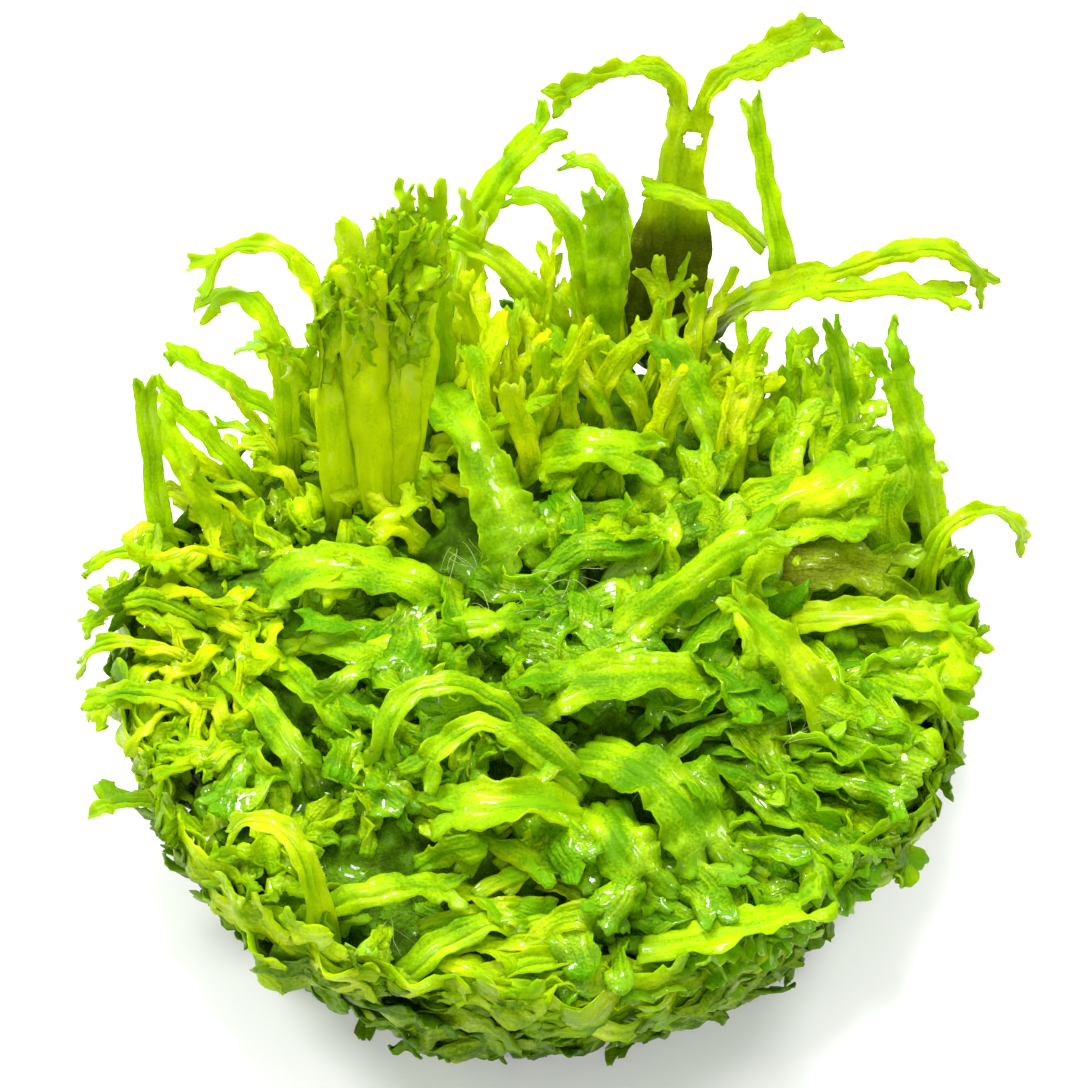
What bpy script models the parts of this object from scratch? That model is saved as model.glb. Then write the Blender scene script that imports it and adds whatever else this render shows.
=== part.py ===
"""Pellia, a thalloid liverwort: one clump of ribbon-like thalli, lifted out of its tissue-culture cup.

The clump keeps the form of the cup: a flat round underside, a wall that widens upwards, and a crown where
the longest thalli stand, arch and droop. One solid is the packed mat, and each large thallus is a solid of
its own. A thallus that forks into long arms is parted at that fork.

Lengths in the tables are millimetres and angles are degrees. +X is right, +Y is away from the front and
+Z is up. The origin is the centre of the flat underside.
"""

import math
import random
from collections import namedtuple

import bmesh
import bpy
from mathutils import Matrix, Vector
from mathutils.bvhtree import BVHTree

MM = 0.001
SEED = 4

# The mat: the cup's inside in the lower half, a low lumpy dome on top
BASE_RADIUS = 27.0
FOOT_RADIUS = 28.6
WALL_RADIUS = 35.4
WALL_TOP = 15.5
RIM_HEIGHT = 19.4
RIM_ROUNDING = 1.6
DOME_RISE = 3.6
MAT_CELLS = 18
WALL_RINGS = 6
LOBE_DEPTH = 1.5
LUMP_HEIGHT = 1.3
THIN_SIDE = math.radians(-42)
THIN_SIDE_DEPTH = 1.6

# A thallus: a lens section with the midrib as its thickest line
RIB_THICKNESS = 1.2
MARGIN_THICKNESS = 0.16
CAMBER = 0.10
STATION_LENGTH = 3.4
SUBSTEPS = 6
ARM_STATIONS = 2
PARTING_SHARE = 0.4

# The space between neighbours
GAP = 0.34
SETTLE_STEP = 0.3
SETTLE_LIMIT = 26
RELIEF_STEP = 0.35
RELIEF_LIMIT = 60

# Colours are linear: pale yellow-green thalli, darker wet mat, olive-brown at the foot of the tallest
MAT_COLOUR = (0.10, 0.22, 0.006)
THALLUS_COLOUR = (0.32, 0.56, 0.006)
PALE_COLOUR = (0.52, 0.74, 0.012)
OLIVE_COLOUR = (0.17, 0.24, 0.004)
MAT_ROUGHNESS = 0.5
THALLUS_ROUGHNESS = 0.32

# root: where it leaves the mat, or the name of the stem that it forks from with the side it takes.
# heading: 0 is right, 90 is away from the front. turn: how far the heading swings on the way to the tip.
# rise: angle above the horizontal at the root and at the tip. late: 1 bends evenly, more near the tip.
# width: at the root and at the tip. roll: how far the blade leans about its own length.
# fork: length of the two tip lobes and the angle between them. Without it the arms are nodes of their own.
Thallus = namedtuple("Thallus", "name root heading rise length width look turn late roll fork",
                     defaults=(0, 1, 0, None))

TALL_AT_THE_BACK = (
    Thallus("tall_stem_back", (10.2, 34.2, 19.5), heading=80, turn=-8, rise=(78, 62),
            length=22.5, width=(6.2, 3.8), look="olive"),
    Thallus("tall_stem_left_arm", ("tall_stem_back", 1), heading=162, turn=34, rise=(8, -30),
            length=12.0, width=(1.8, 2.4), fork=(2.6, 70), look="pale"),
    Thallus("tall_stem_right_arm", ("tall_stem_back", -1), heading=24, turn=2, rise=(6, 4),
            length=13.5, width=(1.7, 4.2), fork=(2.8, 46), look="green"),
    Thallus("right_stem_back", (14.4, 35.0, 20.4), heading=-10, turn=-4, rise=(48, 30),
            length=12.0, width=(4.8, 4.6), look="olive"),
    Thallus("right_stem_upper_arm", ("right_stem_back", 1), heading=14, turn=-34, rise=(30, -64), late=2,
            length=16.5, width=(2.1, 2.4), roll=8, fork=(2.4, 70), look="pale"),
    Thallus("right_stem_lower_arm", ("right_stem_back", -1), heading=-6, turn=12, rise=(12, -20),
            length=12.0, width=(2.2, 3.2), roll=-6, fork=(2.4, 80), look="green"),
    Thallus("right_twin_tall", (20.6, 38.2, 25.2), heading=114, turn=-10, rise=(60, 46),
            length=13.5, width=(2.8, 1.8), fork=(2.0, 34), look="green"),
    Thallus("right_twin_left", (17.2, 39.4, 27.8), heading=164, turn=14, rise=(48, 2),
            length=9.2, width=(1.8, 1.6), fork=(1.5, 50), look="pale"),
    Thallus("curled_tip_back", (6.8, 37.0, 18.6), heading=86, turn=96, rise=(84, 0), late=3,
            length=18.5, width=(1.5, 2.1), fork=(1.5, 44), look="green"),
    Thallus("broad_ribbon_back", (-8.6, 34.6, 19.5), heading=76, turn=-50, rise=(76, 36),
            length=21.0, width=(3.2, 2.8), roll=8, fork=(3.0, 84), look="green"),
    Thallus("crossing_ribbon_back", (1.0, 32.2, 22.4), heading=158, turn=6, rise=(66, 12), late=1.3,
            length=14.0, width=(2.8, 2.2), roll=-28, fork=(2.0, 80), look="pale"),
    Thallus("arching_ribbon_back", (3.0, 36.0, 19.5), heading=92, turn=98, rise=(82, -20), late=2.2,
            length=16.5, width=(2.0, 2.2), fork=(1.6, 44), look="green"),
    Thallus("upright_tip_back", (5.0, 32.4, 20.0), heading=92, turn=4, rise=(78, 64),
            length=14.5, width=(2.6, 3.2), fork=(2.4, 56), look="green"),
)

UPRIGHT_AT_THE_LEFT = (
    Thallus("upright_bunch_tall", (-13.5, 14.0, 20.0), heading=80, turn=6, rise=(68, 58),
            length=24.5, width=(4.8, 4.8), fork=(4.2, 60), look="green"),
    Thallus("upright_bunch_side", (-18.1, 14.8, 20.0), heading=92, turn=8, rise=(68, 60),
            length=20.5, width=(3.6, 3.4), roll=6, fork=(3.4, 60), look="green"),
    Thallus("upright_bunch_back", (-9.4, 27.8, 20.5), heading=92, turn=6, rise=(76, 68),
            length=19.0, width=(2.8, 2.5), roll=-6, fork=(2.0, 36), look="pale"),
    Thallus("high_arch_left", (-17.2, 23.0, 21.0), heading=118, turn=80, rise=(82, -46), late=2.6,
            length=25.0, width=(2.0, 1.8), fork=(4.0, 56), look="pale"),
    Thallus("low_arch_left", (-22.4, 20.4, 20.0), heading=90, turn=100, rise=(84, -50), late=2.6,
            length=20.5, width=(1.8, 2.3), fork=(2.4, 36), look="pale"),
    Thallus("left_strap_upper", (-22.0, 23.4, 20.0), heading=176, turn=-14, rise=(46, 26),
            length=12.5, width=(2.6, 2.3), roll=6, fork=(2.0, 60), look="green"),
    Thallus("left_strap_middle", (-26.4, 18.6, 19.0), heading=152, turn=-2, rise=(50, 32),
            length=10.5, width=(2.2, 2.0), fork=(1.8, 52), look="green"),
    Thallus("left_strap_lower", (-28.4, 12.8, 19.0), heading=128, turn=-4, rise=(44, 30),
            length=10.5, width=(2.6, 2.2), fork=(1.9, 60), look="pale"),
    Thallus("far_left_upright", (-33.0, 12.4, 18.2), heading=110, turn=-20, rise=(56, 70),
            length=14.0, width=(2.2, 2.0), fork=(1.6, 44), look="green"),
    Thallus("left_hook_back", (-30.8, 8.2, 19.5), heading=166, turn=22, rise=(46, -46), late=1.2,
            length=9.0, width=(2.0, 1.8), roll=8, fork=(2.0, 50), look="pale"),
    Thallus("left_hook_middle", (-31.0, 4.4, 19.5), heading=174, turn=24, rise=(40, -54), late=1.2,
            length=8.5, width=(1.9, 1.8), roll=8, fork=(1.8, 44), look="green"),
    Thallus("left_hook_front", (-32.0, 0.0, 19.0), heading=172, turn=16, rise=(38, -66), late=1.4,
            length=8.5, width=(1.7, 1.8), roll=8, fork=(1.8, 44), look="pale"),
    Thallus("left_pointed_tip", (-30.6, -5.2, 18.8), heading=176, rise=(26, -24),
            length=7.0, width=(2.6, 2.2), fork=(2.0, 50), look="green"),
    Thallus("left_low_tip", (-33.0, -11.4, 14.5), heading=172, turn=-12, rise=(-8, -34),
            length=4.0, width=(2.4, 2.4), roll=-12, fork=(2.4, 74), look="green"),
)

ACROSS_THE_TOP = (
    Thallus("drooping_ribbon", (-9.6, 24.6, 24.0), heading=-70, turn=4, rise=(32, -34),
            length=19.0, width=(4.4, 6.0), fork=(3.2, 40), look="green"),
    Thallus("left_centre_strap", (-9.4, 4.2, 21.4), heading=172, turn=12, rise=(38, -26),
            length=13.5, width=(4.4, 5.0), fork=(3.0, 60), look="green"),
    Thallus("right_centre_strap", (5.6, -1.2, 21.6), heading=38, turn=-18, rise=(38, 16),
            length=14.5, width=(3.8, 3.8), fork=(3.0, 60), look="green"),
    Thallus("broad_leaf_centre", (13.0, -5.6, 21.8), heading=192, turn=-12, rise=(36, -28),
            length=13.0, width=(4.8, 5.4), fork=(3.0, 46), look="green"),
    Thallus("glossy_leaf_right", (4.4, -12.0, 21.2), heading=-38, turn=-20, rise=(34, -30),
            length=13.0, width=(4.6, 5.6), fork=(3.2, 56), look="green"),
    Thallus("yellow_leaf_right", (23.0, -7.6, 20.8), heading=138, turn=4, rise=(46, 24),
            length=11.5, width=(5.2, 3.0), fork=(1.8, 34), look="pale"),
    Thallus("looped_stem", (1.4, -13.6, 20.8), heading=152, turn=-4, rise=(40, 18),
            length=5.8, width=(3.2, 3.8), look="green"),
    Thallus("looped_stem_left_arm", ("looped_stem", -1), heading=158, turn=108, rise=(24, -44), late=1.6,
            length=14.5, width=(1.8, 2.6), fork=(2.0, 50), look="green"),
    Thallus("looped_stem_front_arm", ("looped_stem", 1), heading=196, turn=34, rise=(0, -20),
            length=7.0, width=(1.8, 3.0), fork=(2.2, 56), look="pale"),
    Thallus("crossed_strap_back", (-18.2, -0.6, 21.4), heading=-34, turn=26, rise=(28, -26),
            length=9.5, width=(3.6, 3.4), fork=(2.4, 52), look="green"),
    Thallus("crossed_strap_middle", (-21.4, -4.2, 21.2), heading=-62, turn=30, rise=(26, -24),
            length=7.5, width=(2.8, 2.8), fork=(1.8, 52), look="green"),
    Thallus("crossed_strap_front", (-25.6, -5.0, 20.6), heading=-62, turn=10, rise=(26, -22),
            length=9.0, width=(2.8, 2.8), fork=(2.2, 52), look="green"),
    Thallus("small_strap_centre", (-11.0, -0.2, 21.2), heading=-4, turn=22, rise=(34, -20),
            length=9.0, width=(2.8, 3.0), fork=(2.4, 52), look="green"),
    Thallus("cut_leaf_back", (-1.0, 18.6, 21.2), heading=-6, turn=-4, rise=(48, -14),
            length=9.0, width=(4.4, 4.4), fork=(3.0, 60), look="green"),
    Thallus("short_strap_back", (15.4, 20.0, 20.8), heading=128, turn=-4, rise=(48, 22),
            length=10.5, width=(3.6, 3.4), fork=(2.6, 52), look="green"),
)

AT_THE_RIGHT = (
    Thallus("right_fan_back", (17.0, 12.6, 21.0), heading=2, turn=14, rise=(40, 14),
            length=10.5, width=(4.4, 3.8), fork=(2.8, 56), look="pale"),
    Thallus("right_fan_middle", (19.8, 7.0, 20.8), heading=-6, turn=-6, rise=(28, -10),
            length=9.0, width=(4.4, 5.2), fork=(3.4, 66), look="green"),
    Thallus("right_fan_front", (19.8, 1.4, 20.8), heading=-8, turn=8, rise=(26, -12),
            length=14.0, width=(3.8, 3.0), fork=(2.4, 60), look="pale"),
    Thallus("right_long_thallus", (33.4, 11.6, 19.0), heading=106, turn=14, rise=(58, 42),
            length=19.0, width=(2.6, 2.2), fork=(3.0, 74), look="green"),
    Thallus("right_curled_tip", (32.2, 7.4, 19.0), heading=64, turn=-90, rise=(76, -74), late=1.3,
            length=13.5, width=(2.0, 1.8), fork=(1.6, 40), look="pale"),
    Thallus("right_low_strap", (25.4, -3.2, 20.2), heading=-26, turn=-6, rise=(28, -24),
            length=9.5, width=(2.8, 2.4), fork=(2.0, 46), look="green"),
    Thallus("right_upright_tip", (26.8, 21.6, 19.5), heading=118, rise=(70, 62),
            length=11.5, width=(2.0, 1.7), fork=(1.6, 40), look="green"),
    Thallus("right_low_tip", (25.4, -18.2, 18.4), heading=-20, turn=-8, rise=(6, -34),
            length=4.0, width=(2.8, 2.6), roll=-10, fork=(2.4, 74), look="green"),
)

ALONG_THE_FRONT = (
    Thallus("front_leaf_left", (1.0, -17.6, 21.0), heading=198, turn=-22, rise=(42, -26),
            length=9.0, width=(4.6, 4.8), fork=(3.2, 56), look="pale"),
    Thallus("front_leaf_glossy", (4.4, -18.0, 21.0), heading=-70, turn=8, rise=(44, -30),
            length=8.0, width=(5.0, 5.4), fork=(2.8, 48), look="green"),
    Thallus("front_hook_left", (-18.4, -27.4, 18.4), heading=112, turn=74, rise=(70, -62), late=2.2,
            length=14.0, width=(2.9, 1.9), fork=(1.5, 36), look="pale"),
    Thallus("front_boat_leaf", (9.8, -29.4, 19.2), heading=-2, turn=26, rise=(20, -4),
            length=11.0, width=(4.2, 4.2), roll=-22, fork=(3.0, 60), look="green"),
    Thallus("front_strap_left", (-16.4, -25.6, 19.6), heading=2, turn=2, rise=(36, -24),
            length=8.0, width=(2.8, 2.8), fork=(2.2, 50), look="green"),
    Thallus("front_strap_middle", (-10.0, -30.4, 18.4), heading=28, turn=-10, rise=(32, -20),
            length=8.0, width=(2.7, 2.6), fork=(2.0, 52), look="green"),
    Thallus("front_strap_low", (-5.4, -32.4, 17.8), heading=14, turn=-4, rise=(28, -18),
            length=8.5, width=(2.6, 2.4), fork=(2.0, 52), look="pale"),
)

ALONG_THE_BACK = (
    Thallus("back_left_strap", (-21.0, 28.0, 18.8), heading=128, turn=-8, rise=(34, -44), late=1.2,
            length=9.5, width=(2.6, 2.4), fork=(2.2, 56), look="green"),
    Thallus("back_right_strap", (22.0, 27.0, 18.8), heading=52, turn=8, rise=(34, -44), late=1.2,
            length=9.5, width=(2.6, 2.4), fork=(2.2, 56), look="green"),
)

THALLI = ACROSS_THE_TOP + AT_THE_RIGHT + ALONG_THE_FRONT
THALLI += UPRIGHT_AT_THE_LEFT + TALL_AT_THE_BACK + ALONG_THE_BACK
BY_NAME = {row.name: row for row in THALLI}


def clear_the_scene():
    for obj in list(bpy.data.objects):
        bpy.data.objects.remove(obj, do_unlink=True)


def finish(name, colour, roughness):
    material = bpy.data.materials.new(name)
    material.use_nodes = True
    shader = material.node_tree.nodes["Principled BSDF"]
    shader.inputs["Base Color"].default_value = (*colour, 1.0)
    shader.inputs["Roughness"].default_value = roughness
    shader.inputs["Metallic"].default_value = 0.0
    return material


def direction(heading, rise):
    """A unit vector from a compass heading and an angle above the horizontal."""
    h, r = math.radians(heading), math.radians(rise)
    return Vector((math.cos(r) * math.cos(h), math.cos(r) * math.sin(h), math.sin(r)))


def frames_along(row):
    """Point, tangent, leftward and upward vectors at each station, the point measured from the root."""
    steps = stations_of(row) * SUBSTEPS
    stem = BY_NAME.get(row.root[0])
    stem_end = frames_along(stem)[-1] if stem else None
    point = Vector((0.0, 0.0, 0.0))
    frames = []
    for k in range(steps + 1):
        share = k / steps
        bend = share ** row.late
        heading = row.heading + row.turn * bend
        tangent = direction(heading, row.rise[0] + (row.rise[1] - row.rise[0]) * bend)
        left = Matrix.Rotation(math.radians(row.roll), 3, tangent) @ direction(heading + 90, 0)
        if stem_end and share < PARTING_SHARE:
            own = share / PARTING_SHARE
            tangent = (stem_end[1] * (1 - own) + tangent * own).normalized()
            left = stem_end[2] * (1 - own) + left * own
        left = (left - tangent * left.dot(tangent)).normalized()
        if k % SUBSTEPS == 0:
            frames.append((point.copy(), tangent, left, tangent.cross(left)))
        point += tangent * row.length / steps
    return frames


def stations_of(row):
    """Lengthwise divisions of a thallus."""
    return max(2, round(row.length / STATION_LENGTH))


def blade_point(frame, across, half_width, height):
    """A point of the section: across runs from -1 at the right margin to 1 at the left one."""
    point, _, left, up = frame
    return point + left * (across * half_width) + up * (height - CAMBER * half_width * across * across)


def section(frame, half_width, grow):
    """Eight points round a stem's section, from the left margin over the rib, to the right one and back."""
    half = RIB_THICKNESS / 2 + grow
    wide = half_width + grow
    places = ((1, 0), (0.5, 0.64), (0, 1), (-0.5, 0.64), (-1, 0), (-0.5, -0.64), (0, -1), (0.5, -0.64))
    return [blade_point(frame, across, wide, height * half) for across, height in places]


def lobe_section(frame, side, half_width, thin, grow):
    """Five points round a tip lobe: outer margin, top, inner margin twice, underside."""
    half = RIB_THICKNESS / 2 * thin + grow
    wide = half_width + grow
    edge = MARGIN_THICKNESS + grow
    places = ((side, 0), (side * 0.1, half), (-side, edge), (-side, -edge), (side * 0.1, -half))
    return [blade_point(frame, across, wide, height) for across, height in places]


def lobe_frames(row, frame, side, half_width):
    """Frames along one tip lobe, which swings out from the stem in the plane of the blade."""
    length, spread = row.fork
    point, tangent, left, up = frame
    swing = Matrix.Rotation(math.radians(side * spread / 2), 3, up)
    along, out = swing @ tangent, swing @ left
    start = point + left * (side * half_width / 2)
    steps = range(1, ARM_STATIONS + 1)
    return [(start + along * (length * k / ARM_STATIONS), along, out, up) for k in steps]


def thallus_mesh(row, grow=0.0):
    """Corners and faces of one thallus about its root, made larger all round by grow."""
    stations = stations_of(row)
    frames = frames_along(row)
    width = [row.width[0] + (row.width[1] - row.width[0]) * k / stations for k in range(stations + 1)]
    corners, faces = [], []
    rings = []
    for frame, wide in zip(frames, width):
        rings.append(list(range(len(corners), len(corners) + 8)))
        corners += section(frame, wide / 2, grow)
    faces.append(rings[0])
    bridge(faces, rings)
    if row.fork is None:
        faces.append(rings[-1])
        return corners, faces
    last, half_width = rings[-1], width[-1] / 2
    for side, start in ((1, [0, 1, 2, 6, 7]), (-1, [4, 3, 2, 6, 5])):
        lobe_rings = [[last[k] for k in start]]
        for k, frame in enumerate(lobe_frames(row, frames[-1], side, half_width)):
            lobe_rings.append(list(range(len(corners), len(corners) + 5)))
            share = 1 - 0.55 * k
            corners += lobe_section(frame, side, half_width * 0.52 * share, 0.8 - 0.35 * k, grow)
        bridge(faces, lobe_rings)
        faces.append(lobe_rings[-1])
    return corners, faces


def bridge(faces, rings):
    """Joins each ring of corners to the next one."""
    for ring, following in zip(rings, rings[1:]):
        count = len(ring)
        for k in range(count):
            faces.append([ring[k], ring[(k + 1) % count], following[(k + 1) % count], following[k]])


def closed_mesh(name, corners, faces):
    """A mesh in metres, in triangles, with its faces turned outwards."""
    work = bmesh.new()
    points = [work.verts.new(Vector(corner) * MM) for corner in corners]
    for face in faces:
        work.faces.new([points[k] for k in face])
    bmesh.ops.triangulate(work, faces=work.faces[:])
    bmesh.ops.recalc_face_normals(work, faces=work.faces[:])
    mesh = bpy.data.meshes.new(name)
    work.to_mesh(mesh)
    work.free()
    return mesh


def placed_triangles(corners, faces, place):
    """The same faces in triangles, with every corner moved to its place, for testing what touches what."""
    work = bmesh.new()
    points = [work.verts.new(Vector(corner) + place) for corner in corners]
    for face in faces:
        work.faces.new([points[k] for k in face])
    bmesh.ops.triangulate(work, faces=work.faces[:])
    tree = BVHTree.FromBMesh(work)
    work.free()
    return tree


def arm_root(row, roots):
    """Where an arm starts: a gap beyond its side of the stem's end."""
    stem_name, side = row.root
    point, tangent, left, _ = frames_along(BY_NAME[stem_name])[-1]
    sideways = left * (side * (row.width[0] / 2 + GAP / 2))
    return roots[stem_name] + point + sideways + tangent * GAP


def families(rows):
    """Each stem with the arms that fork from it: they move together."""
    stems = [row for row in rows if not isinstance(row.root[0], str)]
    return [[stem] + [row for row in rows if row.root[0] == stem.name] for stem in stems]


def settled_places(rows):
    """Lays the families down in order, each raised in small steps until it clears those already there."""
    roots, laid = {}, []
    for family in families(rows):
        place = Vector(family[0].root)
        for _ in range(SETTLE_LIMIT):
            roots[family[0].name] = place
            for arm in family[1:]:
                roots[arm.name] = arm_root(arm, roots)
            added = [placed_triangles(*thallus_mesh(row, GAP / 2), roots[row.name]) for row in family]
            if not any(new.overlap(old) for new in added for old in laid):
                break
            place = place + Vector((0.0, 0.0, SETTLE_STEP))
        laid += added
    return roots


def wall_radius(height):
    """Radius of the clump below its rim: the foot is drawn in, then the wall widens to its top."""
    share = min(1.0, height / WALL_TOP)
    return FOOT_RADIUS + (WALL_RADIUS - FOOT_RADIUS) * share ** 0.8


def fullness(angle, height):
    """How far the outline stands out at this angle: lobes all round, and one thinner side."""
    lobes = 0.5 * math.sin(7 * angle + height) + 0.3 * math.sin(12 * angle - height)
    lobes += 0.2 * math.sin(19 * angle)
    thin = max(0.0, math.cos(angle - THIN_SIDE)) ** 3
    return LOBE_DEPTH * lobes - THIN_SIDE_DEPTH * thin


def disc_place(column, line):
    """A cell corner of a square grid moved onto a disc: share of the radius, and angle."""
    u = 2 * column / MAT_CELLS - 1
    v = 2 * line / MAT_CELLS - 1
    reach = max(abs(u), abs(v))
    if reach == 0:
        return 0.0, 0.0
    if abs(u) >= abs(v):
        return reach, math.pi / 4 * v / u + (math.pi if u < 0 else 0.0)
    return reach, math.pi / 2 - math.pi / 4 * u / v + (math.pi if v < 0 else 0.0)


def mat_mesh(trees):
    """The packed mat as a closed mesh, drawn in wherever a thallus lies on it or leaves it."""
    chance = random.Random(SEED)
    corners, faces, edge = [], [], []

    def add_corner(radius, angle, height, rough):
        reach = radius + rough * (fullness(angle, height) + LOBE_DEPTH * chance.uniform(-0.5, 0.5))
        lift = rough * LUMP_HEIGHT * chance.uniform(-1, 1)
        corners.append(Vector((reach * math.cos(angle), reach * math.sin(angle), height + lift)))
        return len(corners) - 1

    grid = []
    for line in range(MAT_CELLS + 1):
        grid.append([])
        for column in range(MAT_CELLS + 1):
            share, angle = disc_place(column, line)
            radius = (WALL_RADIUS - RIM_ROUNDING) * share
            height = RIM_HEIGHT + DOME_RISE * (1 - share * share)
            grid[line].append(add_corner(radius, angle, height, 0.3 + 0.6 * share))
            if share == 1:
                edge.append((angle % (2 * math.pi), grid[line][column]))
    for line in range(MAT_CELLS):
        for column in range(MAT_CELLS):
            near, far = grid[line], grid[line + 1]
            faces.append([near[column], near[column + 1], far[column + 1], far[column]])

    edge.sort()
    rings = [[corner for _, corner in edge]]
    for k in range(WALL_RINGS + 1):
        height = WALL_TOP * (1 - k / WALL_RINGS)
        radius, rough = wall_radius(height), 0.9
        if k == WALL_RINGS:
            radius, rough = BASE_RADIUS, 0.0
        rings.append([add_corner(radius, angle, height, rough) for angle, _ in edge])
    bridge(faces, rings)
    faces.append(rings[-1])
    return relieved(corners, faces, trees)


def relieved(corners, faces, trees):
    """Draws the mat's corners in towards its heart until no face of it touches a thallus."""
    work = bmesh.new()
    for corner in corners:
        work.verts.new(corner)
    work.verts.ensure_lookup_table()
    for face in faces:
        work.faces.new([work.verts[k] for k in face])
    bmesh.ops.triangulate(work, faces=work.faces[:])
    work.faces.ensure_lookup_table()
    for _ in range(RELIEF_LIMIT):
        tree = BVHTree.FromBMesh(work)
        touching = {mine for other in trees for mine, _ in tree.overlap(other)}
        pressed = {vert for k in touching for vert in work.faces[k].verts if vert.co.z > 0.01}
        if not pressed:
            break
        for vert in pressed:
            heart = Vector((vert.co.x * 0.7, vert.co.y * 0.7, 4.0))
            vert.co += (heart - vert.co).normalized() * RELIEF_STEP
    places = [vert.co.copy() for vert in work.verts]
    index = {vert: k for k, vert in enumerate(work.verts)}
    triangles = [[index[vert] for vert in face.verts] for face in work.faces]
    work.free()
    return places, triangles


def build():
    clear_the_scene()
    looks = {
        "green": finish("thallus_green", THALLUS_COLOUR, THALLUS_ROUGHNESS),
        "pale": finish("thallus_pale", PALE_COLOUR, THALLUS_ROUGHNESS),
        "olive": finish("thallus_olive", OLIVE_COLOUR, THALLUS_ROUGHNESS),
    }
    clump = bpy.data.objects.new("pellia_clump", None)
    bpy.context.collection.objects.link(clump)

    roots = settled_places(THALLI)
    trees = [placed_triangles(*thallus_mesh(row, GAP), roots[row.name]) for row in THALLI]
    mat = bpy.data.objects.new("packed_mat", closed_mesh("packed_mat", *mat_mesh(trees)))
    mat.data.materials.append(finish("packed_mat", MAT_COLOUR, MAT_ROUGHNESS))
    mat.parent = clump
    bpy.context.collection.objects.link(mat)

    for row in THALLI:
        piece = bpy.data.objects.new(row.name, closed_mesh(row.name, *thallus_mesh(row)))
        piece.data.materials.append(looks[row.look])
        piece.location = roots[row.name] * MM
        piece.parent = clump
        bpy.context.collection.objects.link(piece)


build()
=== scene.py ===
import math

import bmesh
import bpy
import numpy as np
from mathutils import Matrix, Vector


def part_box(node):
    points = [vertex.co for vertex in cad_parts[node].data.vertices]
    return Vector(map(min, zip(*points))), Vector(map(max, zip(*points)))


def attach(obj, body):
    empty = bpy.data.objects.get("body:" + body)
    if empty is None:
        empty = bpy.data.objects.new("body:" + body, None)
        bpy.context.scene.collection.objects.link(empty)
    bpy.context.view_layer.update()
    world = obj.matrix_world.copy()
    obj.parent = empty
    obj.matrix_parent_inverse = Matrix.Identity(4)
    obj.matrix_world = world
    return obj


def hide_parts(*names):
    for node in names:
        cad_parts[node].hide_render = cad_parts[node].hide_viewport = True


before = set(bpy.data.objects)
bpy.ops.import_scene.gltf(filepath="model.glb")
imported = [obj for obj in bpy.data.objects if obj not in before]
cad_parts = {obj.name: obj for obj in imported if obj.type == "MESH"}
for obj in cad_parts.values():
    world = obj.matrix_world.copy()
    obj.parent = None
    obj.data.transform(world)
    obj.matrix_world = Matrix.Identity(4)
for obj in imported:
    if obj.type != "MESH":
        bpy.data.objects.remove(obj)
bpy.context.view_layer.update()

# The matted heart of the clump: old, soaked tissue that the living thalli grow out of. It is one soft mass
# that took the form of the cup, and it only shows in the gaps between the thalli. Its dark greens are its own
# colour and painted shade of those gaps.
MM = 0.001
HEART_DEPTH = 1.9
HEART_UNEVENNESS = 0.8
HEART_LUMPS = 5.0, 2.0
HEART_FOOT = 7.0
HEART_FOOT_DEPTH = 0.4
HEART_LEVEL = 0.4
# Its dark greens: its own colour, darkened further as painted shade of the gaps.
HEART_GREEN = (0.100, 0.250, 0.0010)
HEART_DARK = (0.030, 0.080, 0.0006)
HEART_BROWN = (0.060, 0.066, 0.003)
SHEEN = (0.80, 1.0, 0.12)
LUMP_SCALE, THREAD_SCALE = 420.0, 2600.0


class Shade:
    """A value in a material. Sums and products that are written with it become Math nodes."""

    tree = None

    def __init__(self, socket):
        self.socket = socket

    @classmethod
    def node(cls, kind, settings=None, inputs=None, output=0):
        made = cls.tree.nodes.new("ShaderNode" + kind)
        for key, value in (settings or {}).items():
            setattr(made, key, value)
        for key, value in (inputs or {}).items():
            if isinstance(value, Shade):
                cls.tree.links.new(value.socket, made.inputs[key])
            elif isinstance(value, tuple) and len(value) == 3 and made.inputs[key].type == "RGBA":
                made.inputs[key].default_value = (*value, 1.0)
            else:
                made.inputs[key].default_value = value
        return cls(made.outputs[output])

    def maths(self, operation, other):
        return Shade.node("Math", {"operation": operation}, {0: self, 1: other})

    def __add__(self, other):
        return self.maths("ADD", other)

    __radd__ = __add__

    def __sub__(self, other):
        return self.maths("SUBTRACT", other)

    def __rsub__(self, other):
        return Shade.node("Math", {"operation": "SUBTRACT"}, {0: other, 1: self})

    def __mul__(self, other):
        return self.maths("MULTIPLY", other)

    __rmul__ = __mul__

    def between(self, low, high):
        """0 below low, 1 above high, smooth from one to the other."""
        ends = {"Value": self, "From Min": low, "From Max": high}
        return Shade.node("MapRange", {"interpolation_type": "SMOOTHSTEP"}, ends)


def mark(name):
    """A number that the mesh holds at each of its points."""
    return Shade.node("Attribute", {"attribute_name": name}, output="Fac")


def noise(vector, scale, detail=2.0, roughness=0.5):
    return Shade.node("TexNoise", None, {"Vector": vector, "Scale": scale, "Detail": detail,
                                         "Roughness": roughness})


def tinted(colour, other, share):
    """One colour turned into another by a share."""
    return Shade.node("Mix", {"data_type": "RGBA"}, {0: share, 6: colour, 7: other}, output=2)


def start_material(name):
    material = bpy.data.materials.new(name)
    material.use_nodes = True
    material.node_tree.nodes.clear()
    Shade.tree = material.node_tree
    return material


def end_material(surface):
    out = Shade.tree.nodes.new("ShaderNodeOutputMaterial")
    Shade.tree.links.new(surface.socket, out.inputs["Surface"])


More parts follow.
